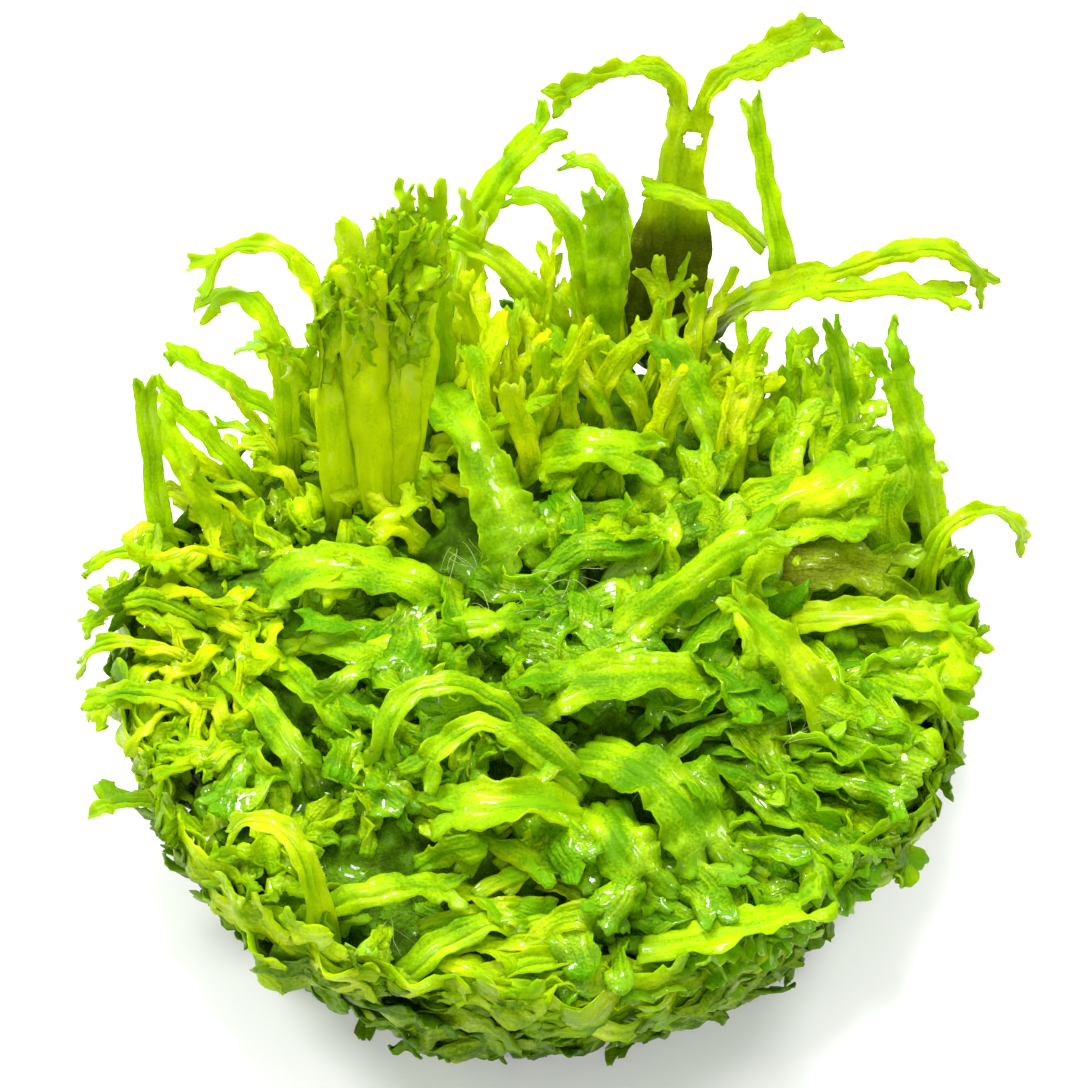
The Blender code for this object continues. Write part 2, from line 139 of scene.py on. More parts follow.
def heart_material():
    material = start_material("matted_heart")
    place = Shade.node("TexCoord", output="Object")
    lumps = noise(place, LUMP_SCALE, 4.0, 0.6)
    threads = noise(place, THREAD_SCALE, 3.0, 0.7)
    colour = tinted(HEART_DARK, HEART_GREEN, lumps.between(0.38, 0.62))
    colour = tinted(colour, HEART_BROWN, threads.between(0.55, 0.75) * 0.6)
    relief = Shade.node("Bump", None, {"Strength": 0.7, "Distance": 0.4 * MM, "Height": threads + lumps})
    end_material(Shade.node("BsdfPrincipled", None, {
        "Base Color": colour, "Roughness": 0.35 + 0.3 * threads,
        "Coat Weight": lumps.between(0.54, 0.60) * 0.5, "Coat Roughness": 0.05,
        "Specular IOR Level": 0.3, "Specular Tint": SHEEN, "Normal": relief}))
    return material


def waves(points, length, chance):
    """A smooth random height at each point, from -1 to 1, with waves of about the given length."""
    total = np.zeros(len(points))
    for _ in range(5):
        way = chance.normal(size=3)
        way *= 2 * math.pi / (length * chance.uniform(0.75, 1.5)) / np.linalg.norm(way)
        total += np.sin(points @ way + chance.uniform(0, 2 * math.pi))
    return total / 3.0


def smooth_faces(mesh):
    mesh.polygons.foreach_set("use_smooth", np.ones(len(mesh.polygons), bool))
    mesh.update()


def placed(name, data):
    """A mesh, lamp or camera as an object in the scene."""
    made = bpy.data.objects.new(name, data)
    bpy.context.collection.objects.link(made)
    return made


def matted_heart():
    """The frame's mat, drawn in all round and roughened."""
    work = bmesh.new()
    work.from_mesh(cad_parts["packed_mat"].data)
    bmesh.ops.remove_doubles(work, verts=work.verts[:], dist=0.01 * MM)
    bmesh.ops.smooth_vert(work, verts=work.verts[:], factor=0.5,
                          use_axis_x=True, use_axis_y=True, use_axis_z=True)
    bmesh.ops.subdivide_edges(work, edges=work.edges[:], cuts=3, use_grid_fill=True)
    work.normal_update()
    points = np.array([v.co for v in work.verts]) / MM
    normals = np.array([v.normal for v in work.verts])
    chance = np.random.default_rng(11)
    broad, fine = (waves(points, lump, chance) for lump in HEART_LUMPS)
    depth = HEART_DEPTH + HEART_UNEVENNESS * (broad + fine * 0.6)
    up = np.clip(points[:, 2] / HEART_FOOT, 0, 1)
    depth = depth * (HEART_FOOT_DEPTH + (1 - HEART_FOOT_DEPTH) * up)
    points -= normals * depth[:, None]
    points[:, 2] = np.maximum(points[:, 2], HEART_LEVEL)
    for vert, point in zip(work.verts, points):
        vert.co = Vector(point) * MM
    mesh = bpy.data.meshes.new("matted_heart")
    work.to_mesh(mesh)
    work.free()
    smooth_faces(mesh)
    mesh.materials.append(heart_material())
    heart = placed("matted_heart", mesh)
    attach(heart, "root")
    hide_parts("packed_mat")


matted_heart()

# The small thalli of the mat: flat living ribbons a few millimetres wide, with a thicker midrib, thin wavy
# margins and a forked, crinkled tip. They grew pressed against the bottom of the cup, here the underside.
MARGIN = 0.06
SMALL_COLUMNS = 8
SQUARE_TIPS = 0.45
MOTTLE_LENGTH = 4.0
SCALLOP_LENGTHS = 2.0, 3.8
RIB_SHARE = 0.33
END_SPAN = 2.4
OPENING = 2.5
FLATTEST = 0.02
PARTING = 0.4
# Each as a share of the look's wander, with the least length of a swing and its share of the whole length.
SWAY, NOD, TWIST = (1.0, 6.0, 0.7), (0.8, 6.0, 0.6), (2.0, 7.0, 0.8)
CELL_SCALE = 4200.0
STREAKS_ACROSS, STREAKS_ALONG = 2.4, 0.4
GRAIN = 0.25
SHINE = 0.27
WET_ROUGHNESS = 0.06


def tissue(name, deep, bright, tip, root, through, clear=(0.32, 0.60), wet=0.6, root_colour_span=(0.0, 0.45),
           dark_tip=0.7, glossy=(0.10, 0.45), relief=0.0004, streaky=0.6, veiled=0.4):
    """Living thallus: satin, moist, darker crinkled tips, translucent margins that are also painted lighter."""
    material = start_material(name)
    along, rib, tone, mottle = mark("along"), mark("rib"), mark("tone"), mark("mottle")
    lengthwise = Shade.node("CombineXYZ", None, {
        0: mark("width_mm") * STREAKS_ACROSS, 1: mark("length_mm") * STREAKS_ALONG, 2: tone * 57.0})
    streaks = noise(lengthwise, 1.0, 1.0, 0.5)
    cells = noise(Shade.node("TexCoord", output="Object"), CELL_SCALE, 0.0, 0.5)
    light = tone * 0.5 + mottle * 0.36 + streaks * streaky + cells * 0.7
    # The margins are painted lighter: painted glow of the light that comes through their thin tissue.
    light = light + rib.between(0.0, 0.4) * 0.24 - (0.32 + streaky / 2)
    colour = tinted(deep, bright, light.maths("MAXIMUM", 0.0).maths("MINIMUM", 1.0))
    colour = tinted(colour, tip, along.between(0.55, 1.0) * (1.0 - tone * 0.6) * dark_tip)
    young = along.between(*root_colour_span)
    # Toward the root: real brown on old brown feet, and on green roots painted shade where they sink into the mat.
    colour = tinted(root, colour, young * 0.87 + 0.13)
    bump = Shade.node("Bump", None, {"Strength": 0.8, "Distance": relief, "Height": streaks + cells * GRAIN})
    skin = Shade.node("BsdfPrincipled", None, {
        "Base Color": colour, "Roughness": 0.28 + 0.25 * cells, "Specular IOR Level": SHINE,
        "Specular Tint": SHEEN, "Coat Weight": mottle.between(*glossy) * wet,
        "Coat Roughness": WET_ROUGHNESS, "Normal": bump})
    glow = Shade.node("BsdfTranslucent", None, {"Color": through})
    share = (rib * rib * (clear[1] - clear[0]) + clear[0]) * (young * (1.0 - veiled) + veiled)
    end_material(Shade.node("MixShader", None, {0: share, 1: skin, 2: glow}))
    return material


def directions(heading, rise):
    """Unit vectors from compass headings and angles above the horizontal, in degrees."""
    h, r = np.radians(heading), np.radians(rise)
    return np.stack((np.cos(r) * np.cos(h), np.cos(r) * np.sin(h), np.sin(r)), axis=-1)


def turned(vectors, axes, angles):
    """Vectors turned about unit axes by angles in radians."""
    cos, sin = np.cos(angles)[..., None], np.sin(angles)[..., None]
    along = np.sum(vectors * axes, axis=-1, keepdims=True) * axes
    return vectors * cos + np.cross(axes, vectors) * sin + along * (1 - cos)


def unit(vectors):
    return vectors / np.linalg.norm(vectors, axis=-1, keepdims=True)


class Sheet:
    """A thallus as one layer of points, which is given its thickness at the end."""

    def __init__(self):
        self.points, self.quads, self.marks, self.count = [], [], {}, 0

    def add(self, points, first=None, **marks):
        """A grid of points, rows by columns. first is a row of earlier points that it grows on from."""
        shape = points.shape[:2]
        self.points.append(points.reshape(-1, 3))
        for key, value in marks.items():
            self.marks.setdefault(key, []).append(np.broadcast_to(value, shape).ravel())
        grid = self.count + np.arange(shape[0] * shape[1]).reshape(shape)
        self.count += grid.size
        if first is not None:
            grid = np.vstack((first[None, :], grid))
        corners = (grid[:-1, :-1], grid[:-1, 1:], grid[1:, 1:], grid[1:, :-1])
        self.quads.append(np.stack(corners, axis=-1).reshape(-1, 4))
        return grid

    def normals(self, points, quads):
        corner = points[quads]
        facing = np.cross(corner[:, 2] - corner[:, 0], corner[:, 3] - corner[:, 1])
        total = np.zeros_like(points)
        for k in range(4):
            np.add.at(total, quads[:, k], facing)
        return total / np.maximum(np.linalg.norm(total, axis=1, keepdims=True), 1e-9)

    def solid(self, crinkle, crinkle_length, chance, holes=(), shape=None):
        """Crinkles the layer, lays it where shape says, and closes it: points, quads and marks."""
        points, quads = np.concatenate(self.points), np.concatenate(self.quads)
        marks = {key: np.concatenate(value) for key, value in self.marks.items()}
        free = np.clip((marks["along"] - 0.25) / 0.6, 0, 1) * (0.3 + 0.7 * marks["rib"])
        coarse, small = (waves(points, size, chance) for size in (crinkle_length, crinkle_length / 2))
        points = points + self.normals(points, quads) * (crinkle * free * (coarse + 0.5 * small))[:, None]
        if shape is not None:
            points = shape(points)
        for centre, size in holes:
            middle = points[quads].mean(axis=1)
            quads = quads[np.linalg.norm(middle - centre, axis=1) > size]
        out = self.normals(points, quads) * marks.pop("thick")[:, None]
        count = len(points)
        edges = np.concatenate([quads[:, [k, (k + 1) % 4]] for k in range(4)]).astype(np.int64)
        rim = edges[~np.isin(edges @ (1, count), edges @ (count, 1))]
        sides = np.stack((rim[:, 1], rim[:, 0], rim[:, 0] + count, rim[:, 1] + count), axis=-1)
        marks["mottle"] = waves(points, MOTTLE_LENGTH, chance)
        return (np.concatenate((points + out, points - out)),
                np.concatenate((quads, quads[:, ::-1] + count, sides)),
                {key: np.tile(value, 2) for key, value in marks.items()})


def wobble(along, size, wavelength, chance):
    """A smooth random swing along a length in millimetres."""
    total = np.zeros_like(along)
    for share in (1.0, 0.55, 0.3):
        total += share * np.sin(2 * math.pi * along / (wavelength * share) + chance.uniform(0, 2 * math.pi))
    return size * total / 1.5


def scallops(run, size, chance):
    """A margin of small rounded lobes with narrow notches between them, strong in some places only."""
    phase = chance.uniform(0, math.pi) + wobble(run, 0.7, 6.0, chance)
    patch = np.clip(0.6 + wobble(run, 0.7, 6.5, chance), 0, 1.4)
    return size * patch * (np.abs(np.sin(math.pi * run / chance.uniform(*SCALLOP_LENGTHS) + phase)) - 0.62)


def course(heading, turn, rise, late, roll, length, fine, chance, wander, parting=None):
    """Points, tangents, leftward and upward vectors along a thallus, measured from its root.

    A larger late bends it nearer its tip. parting is the direction that an arm has where it leaves its stem.
    """
    stations = max(4, round(length / fine))
    share = np.linspace(0, 1, stations + 1)
    bend = share ** late
    sway, nod, twist = (wobble(share * length, wander * size, max(least, length * part), chance)
                        * np.minimum(1, share * 3) for size, least, part in (SWAY, NOD, TWIST))
    tangent = directions(heading + turn * bend + sway, rise[0] + (rise[1] - rise[0]) * bend + nod)
    left = directions(heading + turn * bend + 90, 0 * bend)
    left = turned(left, tangent, np.radians(roll + twist))
    if parting is not None:
        stem_tangent, stem_left = parting
        own = np.clip(share / PARTING, 0, 1)[:, None]
        tangent = unit(stem_tangent * (1 - own) + tangent * own)
        left = stem_left * (1 - own) + left * own
    left = unit(left - tangent * np.sum(left * tangent, axis=1, keepdims=True))
    steps = (tangent[1:] + tangent[:-1]) / 2 * length / stations
    points = np.vstack((np.zeros(3), np.cumsum(steps, axis=0)))
    return points, tangent, left, np.cross(tangent, left)


def blade(sheet, path, width, columns, look, chance, start=0.0, span=1.0, first=None, mm=0.0, notch=None):
    """Adds a length of thallus to its sheet. start and span say where it lies from root to tip.

    notch is how deep its cut-off end is hollowed, as a share of its half width, and None if it grows on.
    """
    points, tangent, left, up = path
    share = np.linspace(0, 1, len(points))
    run = share * np.sum(np.linalg.norm(np.diff(points, axis=0), axis=1))
    across = np.linspace(-1, 1, columns + 1)[None, :]
    reach = np.abs(across)
    half = np.interp(share, np.linspace(0, 1, len(width)), width) / 2 * (1 + wobble(run, 0.06, 7.0, chance))
    grown = start + span * share
    end = np.clip(1 - (run[-1] - run) / (END_SPAN * half[-1]), 0, 1) ** 2 * (notch is not None)
    sides = [scallops(run, look["ragged"], chance) * (0.35 + 0.65 * grown) for _ in range(2)]
    edge = np.where(across > 0, sides[0][:, None], sides[1][:, None]) * reach ** 2
    wide = (half * (1 + look["flare"] * end - look["round"] * end ** 3))[:, None] * (1 + edge)
    swing = chance.uniform(-0.7, 1) + look.get("cupped", 0.0) + wobble(run, 0.45, max(8.0, run[-1]), chance)
    opened = np.clip(grown * OPENING, 0, 1)
    bend = (look["bend"] * swing * opened)[:, None]
    bend = np.where(np.abs(bend) < FLATTEST, FLATTEST, bend)
    sideways = wide * np.sin(bend * across) / bend
    height = wide * (1 - np.cos(bend * across)) / bend
    frill = [wobble(run, look["frill"], look["frill_length"], chance)[:, None] for _ in range(2)]
    frill = frill[0] * np.clip(across, 0, 1) ** 2 + frill[1] * np.clip(-across, 0, 1) ** 2
    pleats = np.cos(math.pi * look["pleats"] * across + wobble(run, 1.0, 9.0, chance)[:, None])
    height = height + frill * opened[:, None]
    height = height + look["pleat"] * pleats * (1 - reach ** 4) * (1 - 0.6 * grown)[:, None]
    places = points[:, None, :] + left[:, None, :] * sideways[..., None] + up[:, None, :] * height[..., None]
    if notch is not None:
        cut = (chance.uniform(-1, 1, columns + 1) * look["tear"] - notch * (1 - reach ** 1.3)) * half[-1]
        places = places + tangent[:, None, :] * (end[:, None] * cut)[..., None]
    flesh = 0.45 * (1 - reach ** 2) + 0.55 * np.exp(-(reach / RIB_SHARE) ** 2)
    thick = MARGIN + look["rib"] / 2 * flesh * ((1 - 0.4 * grown) * (1 - 0.5 * end))[:, None]
    skip = 0 if first is None else 1
    grid = sheet.add(places[skip:], first, thick=thick[skip:], along=grown[skip:, None], rib=reach,
                     length_mm=mm + run[skip:, None], width_mm=sideways[skip:])
    return grid[-1], half[-1]


def lobes(sheet, end, last, half, fork, columns, look, chance, start, mm):
    """The two lobes of a forked tip: each swings out, curls, and ends in a ragged edge."""
    point, tangent, left, up = end
    length, spread = fork
    middle = columns // 2
    draw = chance.uniform
    for side, piece in ((-1, slice(0, middle + 1)), (1, slice(middle, columns + 1))):
        long = length * draw(0.7, 1.25)
        steps = max(3, round(long / look["fine"] * 1.2))
        share = np.linspace(0, 1, steps + 1)
        swing = side * math.radians(spread / 2 * draw(0.6, 1.3)) * np.minimum(1, share * 1.8)
        curl = math.radians(look["curl"] * draw(-0.6, 1.3)) * share
        ups = np.tile(up, (steps + 1, 1))
        ahead = turned(np.tile(tangent, (steps + 1, 1)), ups, swing)
        out = turned(np.tile(left, (steps + 1, 1)), ups, swing)
        ahead, over = turned(ahead, out, -curl), turned(ups, out, -curl)
        moves = (ahead[1:] + ahead[:-1]) / 2 * long / steps
        centre = point + left * (side * half / 2) + np.vstack((np.zeros(3), np.cumsum(moves, axis=0)))
        wide = half, half * look["lobe"] * 2, half * look["lobe"] * look["point"]
        blade(sheet, (centre, ahead, out, over), wide, middle, look, chance, start, 1 - start, last[piece], mm,
              draw(-1.0, 0.4))


SMALL = dict(wander=9.0, ragged=0.16, frill=0.3, frill_length=3.2, bend=0.9, rib=0.44, fine=0.48, pleat=0.06,
             pleats=3.0, curl=35.0, flare=0.2, tear=0.12, round=0.55, lobe=0.55, point=1.7, crinkle=0.22,
             crinkle_length=2.4)


def rooted(path, depth, fine):
    """The same course with a straight foot before its root, which is sunk in the mat."""
    points, tangent, left, up = path
    steps = max(1, round(depth / fine))
    back = np.arange(steps, 0, -1)[:, None] * depth / steps
    return (np.vstack((points[0] - tangent[0] * back, points)),
            *(np.vstack((np.tile(row[0], (steps, 1)), row)) for row in (tangent, left, up)))


def tip_of(path):
    """Where a blade ends: point, tangent, leftward and upward vectors."""
    return tuple(row[-1] for row in path)


def small_thallus(chance, heading, turn, rise, length, width, look, roll=0.0, fork=None, shape=None,
                  columns=SMALL_COLUMNS):
    """One small thallus about its own root, in millimetres. Its tip is cut off square, or forked."""
    sheet = Sheet()
    path = course(heading, turn, rise, 1.0, roll, length, look["fine"], chance, look["wander"])
    if fork is None and chance.uniform() < SQUARE_TIPS:
        blade(sheet, path, width, columns, look, chance, notch=chance.uniform(-0.5, 0.8))
    else:
        fork = fork or (length * chance.uniform(0.14, 0.28), chance.uniform(30, 75))
        start = length / (length + fork[0])
        last, half = blade(sheet, path, width, columns, look, chance, 0.0, start)
        lobes(sheet, tip_of(path), last, half, fork, columns, look, chance, start, length)
    return sheet.solid(look["crinkle"], look["crinkle_length"], chance, shape=shape)


def joined_piece(name, thalli, material, slot, replaced=()):
    """Many thalli as one mesh. Each comes as points, quads, marks and its tone."""
    corners, faces, marks, count = [], [], {}, 0
    for points, quads, own, tone in thalli:
        corners.append(points)
        faces.append(quads + count)
        count += len(points)
        for key, value in {**own, "tone": np.full(len(points), tone)}.items():
            marks.setdefault(key, []).append(value)
    corners, faces = np.concatenate(corners) * MM, np.concatenate(faces)
    mesh = bpy.data.meshes.new(name)
    mesh.vertices.add(len(corners))
    mesh.vertices.foreach_set("co", corners.astype(np.float32).ravel())
    mesh.loops.add(faces.size)
    mesh.loops.foreach_set("vertex_index", faces.astype(np.int32).ravel())
    mesh.polygons.add(len(faces))
    mesh.polygons.foreach_set("loop_start", np.arange(0, faces.size, 4, dtype=np.int32))
    mesh.update(calc_edges=True)
    for key, value in marks.items():
        held = mesh.attributes.new(key, "FLOAT", "POINT").data
        held.foreach_set("value", np.concatenate(value).astype(np.float32))
    smooth_faces(mesh)
    mesh.materials.append(material)
    piece = placed(name, mesh)
    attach(piece, "root")
    if replaced:
        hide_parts(*replaced)


mat_tissue = tissue("mat_thallus", deep=(0.085, 0.260, 0.0004), bright=(0.63, 0.85, 0.0008),
                    tip=(0.13, 0.38, 0.0004), root=(0.13, 0.31, 0.0004), through=(0.74, 0.90, 0.0006))
BASE_RADIUS = 27.0
UNDERSIDE_COUNT = 64
UNDERSIDE_LENGTHS, UNDERSIDE_WIDTHS = (7, 11), (2.8, 4.2)
UNDERSIDE_LEVELS = 0.10, 0.55


def golden_places(count, radius, chance, jitter):
    """Places spread evenly over a disc, each moved a little at random."""
    k = np.arange(count)
    turn = k * math.pi * (3 - math.sqrt(5))
    out = radius * np.sqrt((k + 0.5) / count)
    places = np.stack((out * np.cos(turn), out * np.sin(turn)), axis=-1)
    return places + chance.uniform(-jitter, jitter, places.shape)


def underside():
    chance = np.random.default_rng(21)
    draw = chance.uniform
    look = dict(SMALL, crinkle=0.12, frill=0.08, curl=4.0, bend=0.1, fine=0.8)
    for x, y in golden_places(UNDERSIDE_COUNT, BASE_RADIUS - 2.5, chance, 1.2):
        level = draw(*UNDERSIDE_LEVELS)

        def press(points):
            low = np.maximum(level - points[:, 2] * 0.3, 0.09)
            out = np.hypot(points[:, 0] + x, points[:, 1] + y)
            drawn = np.minimum(1, (BASE_RADIUS + 1.2) / out)
            return np.stack(((points[:, 0] + x) * drawn, (points[:, 1] + y) * drawn, low), axis=-1)

        outwards = math.degrees(math.atan2(y, x))
        width = draw(*UNDERSIDE_WIDTHS)
        parts = small_thallus(chance, outwards + draw(-70, 70), draw(-50, 50), (2, 2),
                              draw(*UNDERSIDE_LENGTHS), (width, width), look, shape=press)
        yield *parts, draw(0, 0.6)


joined_piece("underside_thalli", underside(), mat_tissue, "mat")

# The thalli of the wall: the same small ribbons, grown flat against the side of the cup, so that they lie
# on each other like shingles. They lean with the wall, and only their tips stand a little off it.
FOOT_RADIUS = 28.2
WALL_RADIUS = 35.4
WALL_TOP = 15.5
THIN_SIDE = math.radians(-42)
THIN_SIDE_DEPTH = 2.4
# Rows of size, number round the clump, and how far they turn with the height, for the lobes of its outline.
LOBES = ((0.5, 7, 1), (0.3, 12, -1), (0.2, 19, 0), (0.28, 31, 3.1), (0.22, 43, -4.3))
LOBE_DEPTH = 1.5
LOBE_TURN = 0.3
WALL_ROWS = 7
WALL_IN_A_ROW = 44
WALL_LENGTHS, WALL_WIDTHS = (4.5, 9.0), (1.8, 3.6)
INNER_ROW_DEPTH = 0.9
INNER_FINE, WALL_FINE = 0.9, 0.55
BULGE = 0.85
LOWEST = 0.12
# A darker copy of the mat's tissue: painted shade on the side of the clump, below its rim.
wall_tissue = tissue("wall_thallus", deep=(0.036, 0.110, 0.0005), bright=(0.42, 0.62, 0.0010),
                     tip=(0.07, 0.19, 0.0006), root=(0.06, 0.13, 0.0005), through=(0.46, 0.76, 0.0010),
                     clear=(0.15, 0.38), wet=0.3, root_colour_span=(0.0, 0.25))


def round_the_cup(out, around, height):
    """Points at a distance from the middle, an angle round it and a height."""
    return np.stack((out * np.cos(around), out * np.sin(around), height), axis=-1)


def wall_radius(height):
    """Radius of the clump below its rim: the foot is drawn in, then the wall widens to its top."""
    return FOOT_RADIUS + (WALL_RADIUS - FOOT_RADIUS) * np.clip(height / WALL_TOP, 0, 1) ** 0.8


def fullness(angle, height):
    """How far the outline stands out at this angle: lobes all round, and one thinner side."""
    turn = LOBE_TURN * height
    swell = sum(size * np.sin(count * angle + share * turn) for size, count, share in LOBES)
    thin = np.maximum(0.0, np.cos(angle - THIN_SIDE)) ** 3
    return LOBE_DEPTH * swell - THIN_SIDE_DEPTH * thin


def wall():
    chance = np.random.default_rng(31)
    draw = chance.uniform
    look = dict(SMALL, crinkle=0.34, crinkle_length=1.8, frill=0.2, curl=10.0, bend=0.3,
                tear=0.3, ragged=0.14)
    for order, row in enumerate((0, *range(WALL_ROWS))):
        inner = order == 0
        for k in range(WALL_IN_A_ROW):
            angle = 2 * math.pi * (k + 0.5 * (row % 2) + draw(-0.35, 0.35)) / WALL_IN_A_ROW
            level = 1.6 + (WALL_TOP + 1.5) * (row + draw(-0.3, 0.3)) / WALL_ROWS
            off = draw(-0.5, 0.2) - (INNER_ROW_DEPTH if inner else 0.0)

            def lay(points):
                height = level + points[:, 1]
                around = angle + points[:, 0] / WALL_RADIUS
                out = wall_radius(height) + BULGE * fullness(around, height) + off + points[:, 2]
                out = out + 0.25 * np.maximum(0.3 - height, 0)
                return round_the_cup(out, around, np.maximum(height, LOWEST))

            width = draw(*WALL_WIDTHS)
            upper = row / (WALL_ROWS - 1)
            look["fine"] = INNER_FINE if inner else WALL_FINE
            heading = chance.choice((1, -1)) * draw(-35, 75 - 45 * upper) + chance.choice((0, 180))
            parts = small_thallus(chance, heading, draw(-50, 50), (1, draw(2, 20)), draw(*WALL_LENGTHS),
                                  (width, width * draw(0.8, 1.1)), look, shape=lay)
            # Higher rows get a lighter tone and lower ones a darker: painted shade toward the bottom of the wall.
            yield *parts, draw(0.0, 0.35) + draw(0.0, 0.35) * upper ** 2


joined_piece("wall_thalli", wall(), wall_tissue, "mat")

# The lip: where the wall ends, thalli that followed the cup's side round and grew together into a bright,
# thin, almost unbroken band. It is the same tissue, so thin that the light comes through it. Its colours are
# also painted lighter than the wall's, and lightest at the front left: painted glow.
LIP_COUNT = 46
LIP_HEIGHT = 17.2
LIP_SPAN = 92
LIP_LENGTHS, LIP_WIDTHS = (7.0, 12.0), (1.6, 2.9)
# The side where the lip is painted lightest: painted glow.
LIP_BRIGHTEST = math.radians(-140)
FRONT = -88.0
# A lighter copy of the mat's tissue: painted glow of the light that comes through the thin band.
lip_tissue = tissue("lip_thallus", deep=(0.100, 0.260, 0.0005), bright=(0.76, 0.90, 0.0008),
                    tip=(0.12, 0.30, 0.0005), root=(0.12, 0.26, 0.0005), through=(0.66, 0.92, 0.0006),
                    clear=(0.36, 0.6), streaky=0.9)


def lip():
    chance = np.random.default_rng(35)
    draw = chance.uniform
    look = dict(SMALL, crinkle=0.2, frill=0.2, curl=8.0, bend=0.5, ragged=0.08,
                fine=WALL_FINE)
    for k in range(LIP_COUNT):
        angle = math.radians(FRONT + LIP_SPAN * (2 * (k + draw(-0.4, 0.4)) / LIP_COUNT - 1))
        level = LIP_HEIGHT + 0.8 * math.sin(5 * angle) + draw(-1.3, 1.0)
        off = draw(-0.6, 0.1)

        def lay(points):
            around = angle + points[:, 0] / WALL_RADIUS
            out = WALL_RADIUS + BULGE * fullness(around, level) + off + points[:, 2]
            out = out - 0.25 * np.maximum(level + points[:, 1] - LIP_HEIGHT, 0)
            return round_the_cup(out, around, level + points[:, 1])

        width = draw(*LIP_WIDTHS)
        parts = small_thallus(chance, draw(-14, 14) + chance.choice((0, 180)), draw(-20, 20),
                              (1, draw(0, 12)), draw(*LIP_LENGTHS), (width * 0.8, width, width), look,
                              shape=lay)
        # Lightest toward the front left: painted glow.
        bright = max(0.0, math.cos(angle - LIP_BRIGHTEST)) ** 3
        yield *parts, draw(0.0, 0.25) + 0.8 * bright


joined_piece("lip_thalli", lip(), lip_tissue, "mat")

# The fringe of the rim: small thalli that grew up the cup's side to the air. At the left, the back and the
# right they lean out over the edge of the wall. Along the front they lie on it and follow it round.
FRINGE_COUNT = 140
FRINGE_LENGTHS, FRINGE_WIDTHS = (3.8, 8.5), (0.9, 2.0)
# At the root and at the tip, for a thallus that leans out freely and for one that was pressed flat.
FRINGE_RISES = ((0, 65), (5, 25)), ((-65, 25), (-35, -5))
FRONT_REACH = 78.0
FRONT_LIMIT = 36.0
FREE_LIMIT = 40.2
RIGHT_SIDE, RIGHT_DRAWN_IN = 0.15, 2.6


def freedom(angle):
    """0 along the front, where the cup's wall pressed the thalli flat, and 1 where they lean out freely."""
    from_front = abs((math.degrees(angle) - FRONT + 180) % 360 - 180)
    return min(1.0, max(0.0, (from_front - FRONT_REACH) / 14))


def reach_limit(angle):
    """How far from the middle the small thalli reach at this angle."""
    right = max(0.0, math.cos(angle - RIGHT_SIDE)) ** 6
    return FRONT_LIMIT + (FREE_LIMIT - FRONT_LIMIT) * freedom(angle) - RIGHT_DRAWN_IN * right


def drawn_in(points, root, limit, out):
    """The root of a thallus, moved toward the middle until none of its points lies past the limit."""
    reach = np.max(np.hypot(points[:, 0] + root[0], points[:, 1] + root[1]))
    share = min(1.0, max(0.0, 1 - (reach - limit) / out))
    return root * (share, share, 1)


def fringe():
    chance = np.random.default_rng(41)
    draw = chance.uniform
    look = dict(SMALL, crinkle=0.28, curl=75.0, ragged=0.10, wander=22.0, tear=0.25)
    for k in range(FRINGE_COUNT):
        round_angle = 360 * (k + draw(-0.4, 0.4)) / FRINGE_COUNT
        angle = math.radians(round_angle)
        free = freedom(angle)
        level = draw(14.0, 18.6) - (1 - free) * draw(0, 2.5)
        out = WALL_RADIUS - draw(1.5, 5.5) * (0.4 + 0.6 * free) + fullness(angle, level)
        root = np.array([out * math.cos(angle), out * math.sin(angle), level])
        side = chance.choice((-1, 1))
        heading = round_angle + side * draw(80, 105) * (1 - free) + draw(-50, 50) * free
        rise = [draw(*leaning) * free + draw(*pressed) * (1 - free) for leaning, pressed in FRINGE_RISES]
        width = draw(*FRINGE_WIDTHS) + 0.7 * (1 - free)
        parts = small_thallus(chance, heading, side * 12 * (1 - free) + draw(-60, 60) * free, rise,
                              draw(*FRINGE_LENGTHS), (width * 0.8, width, width * 1.1), look,
                              roll=draw(-30, 30) - 50 * side * (1 - free))
        root = drawn_in(parts[0], root, reach_limit(angle), out)
        yield parts[0] + root, *parts[1:], draw(0.5, 1.3)


joined_piece("rim_fringe", fringe(), mat_tissue, "mat")

# The thalli of the crown: the small ones that fill the top of the clump between the long ones. They lean the
# way the clump grew at each place, and leave a few wet hollows between them, which sit lower. The deeper a
# thallus is set, the darker it is painted, and darkest in the hollows: painted shade.
CROWN_COUNT = 440
CROWN_RADIUS = 33.5
CROWN_LEVEL = 16.2
CROWN_LIMIT = 0.5
DOME_RISE = 3.6
# A lighter copy of the mat's tissue for the crown's back and left: painted light.
lit_crown_tissue = tissue("young_thallus", deep=(0.16, 0.41, 0.0004), bright=(0.75, 0.86, 0.0008),
                      tip=(0.12, 0.37, 0.0004), root=(0.26, 0.48, 0.0004), through=(0.84, 0.90, 0.0006),
                      clear=(0.38, 0.66), root_colour_span=(0.0, 0.3), dark_tip=1.0)
wet_tissue = tissue("wet_thallus", deep=(0.075, 0.26, 0.0004), bright=(0.56, 0.82, 0.0006),
                    tip=(0.10, 0.34, 0.0004), root=(0.09, 0.24, 0.0004), through=(0.60, 0.86, 0.0006),
                    wet=0.9, glossy=(-0.2, 0.1), relief=0.0005)
STRAP = dict(SMALL, kind="straps", wander=14.0, crinkle=0.22, crinkle_length=2.4, frill=0.36, frill_length=3.6,
             curl=40.0, ragged=0.07, tear=0.2, pleat=0.10)
CURLY = dict(STRAP, wander=24.0, curl=85.0, crinkle=0.30)
UPRIGHT = dict(STRAP, kind="fronds", bend=1.2, pleat=0.14, ragged=0.12, tear=0.5, curl=30.0, round=0.2)
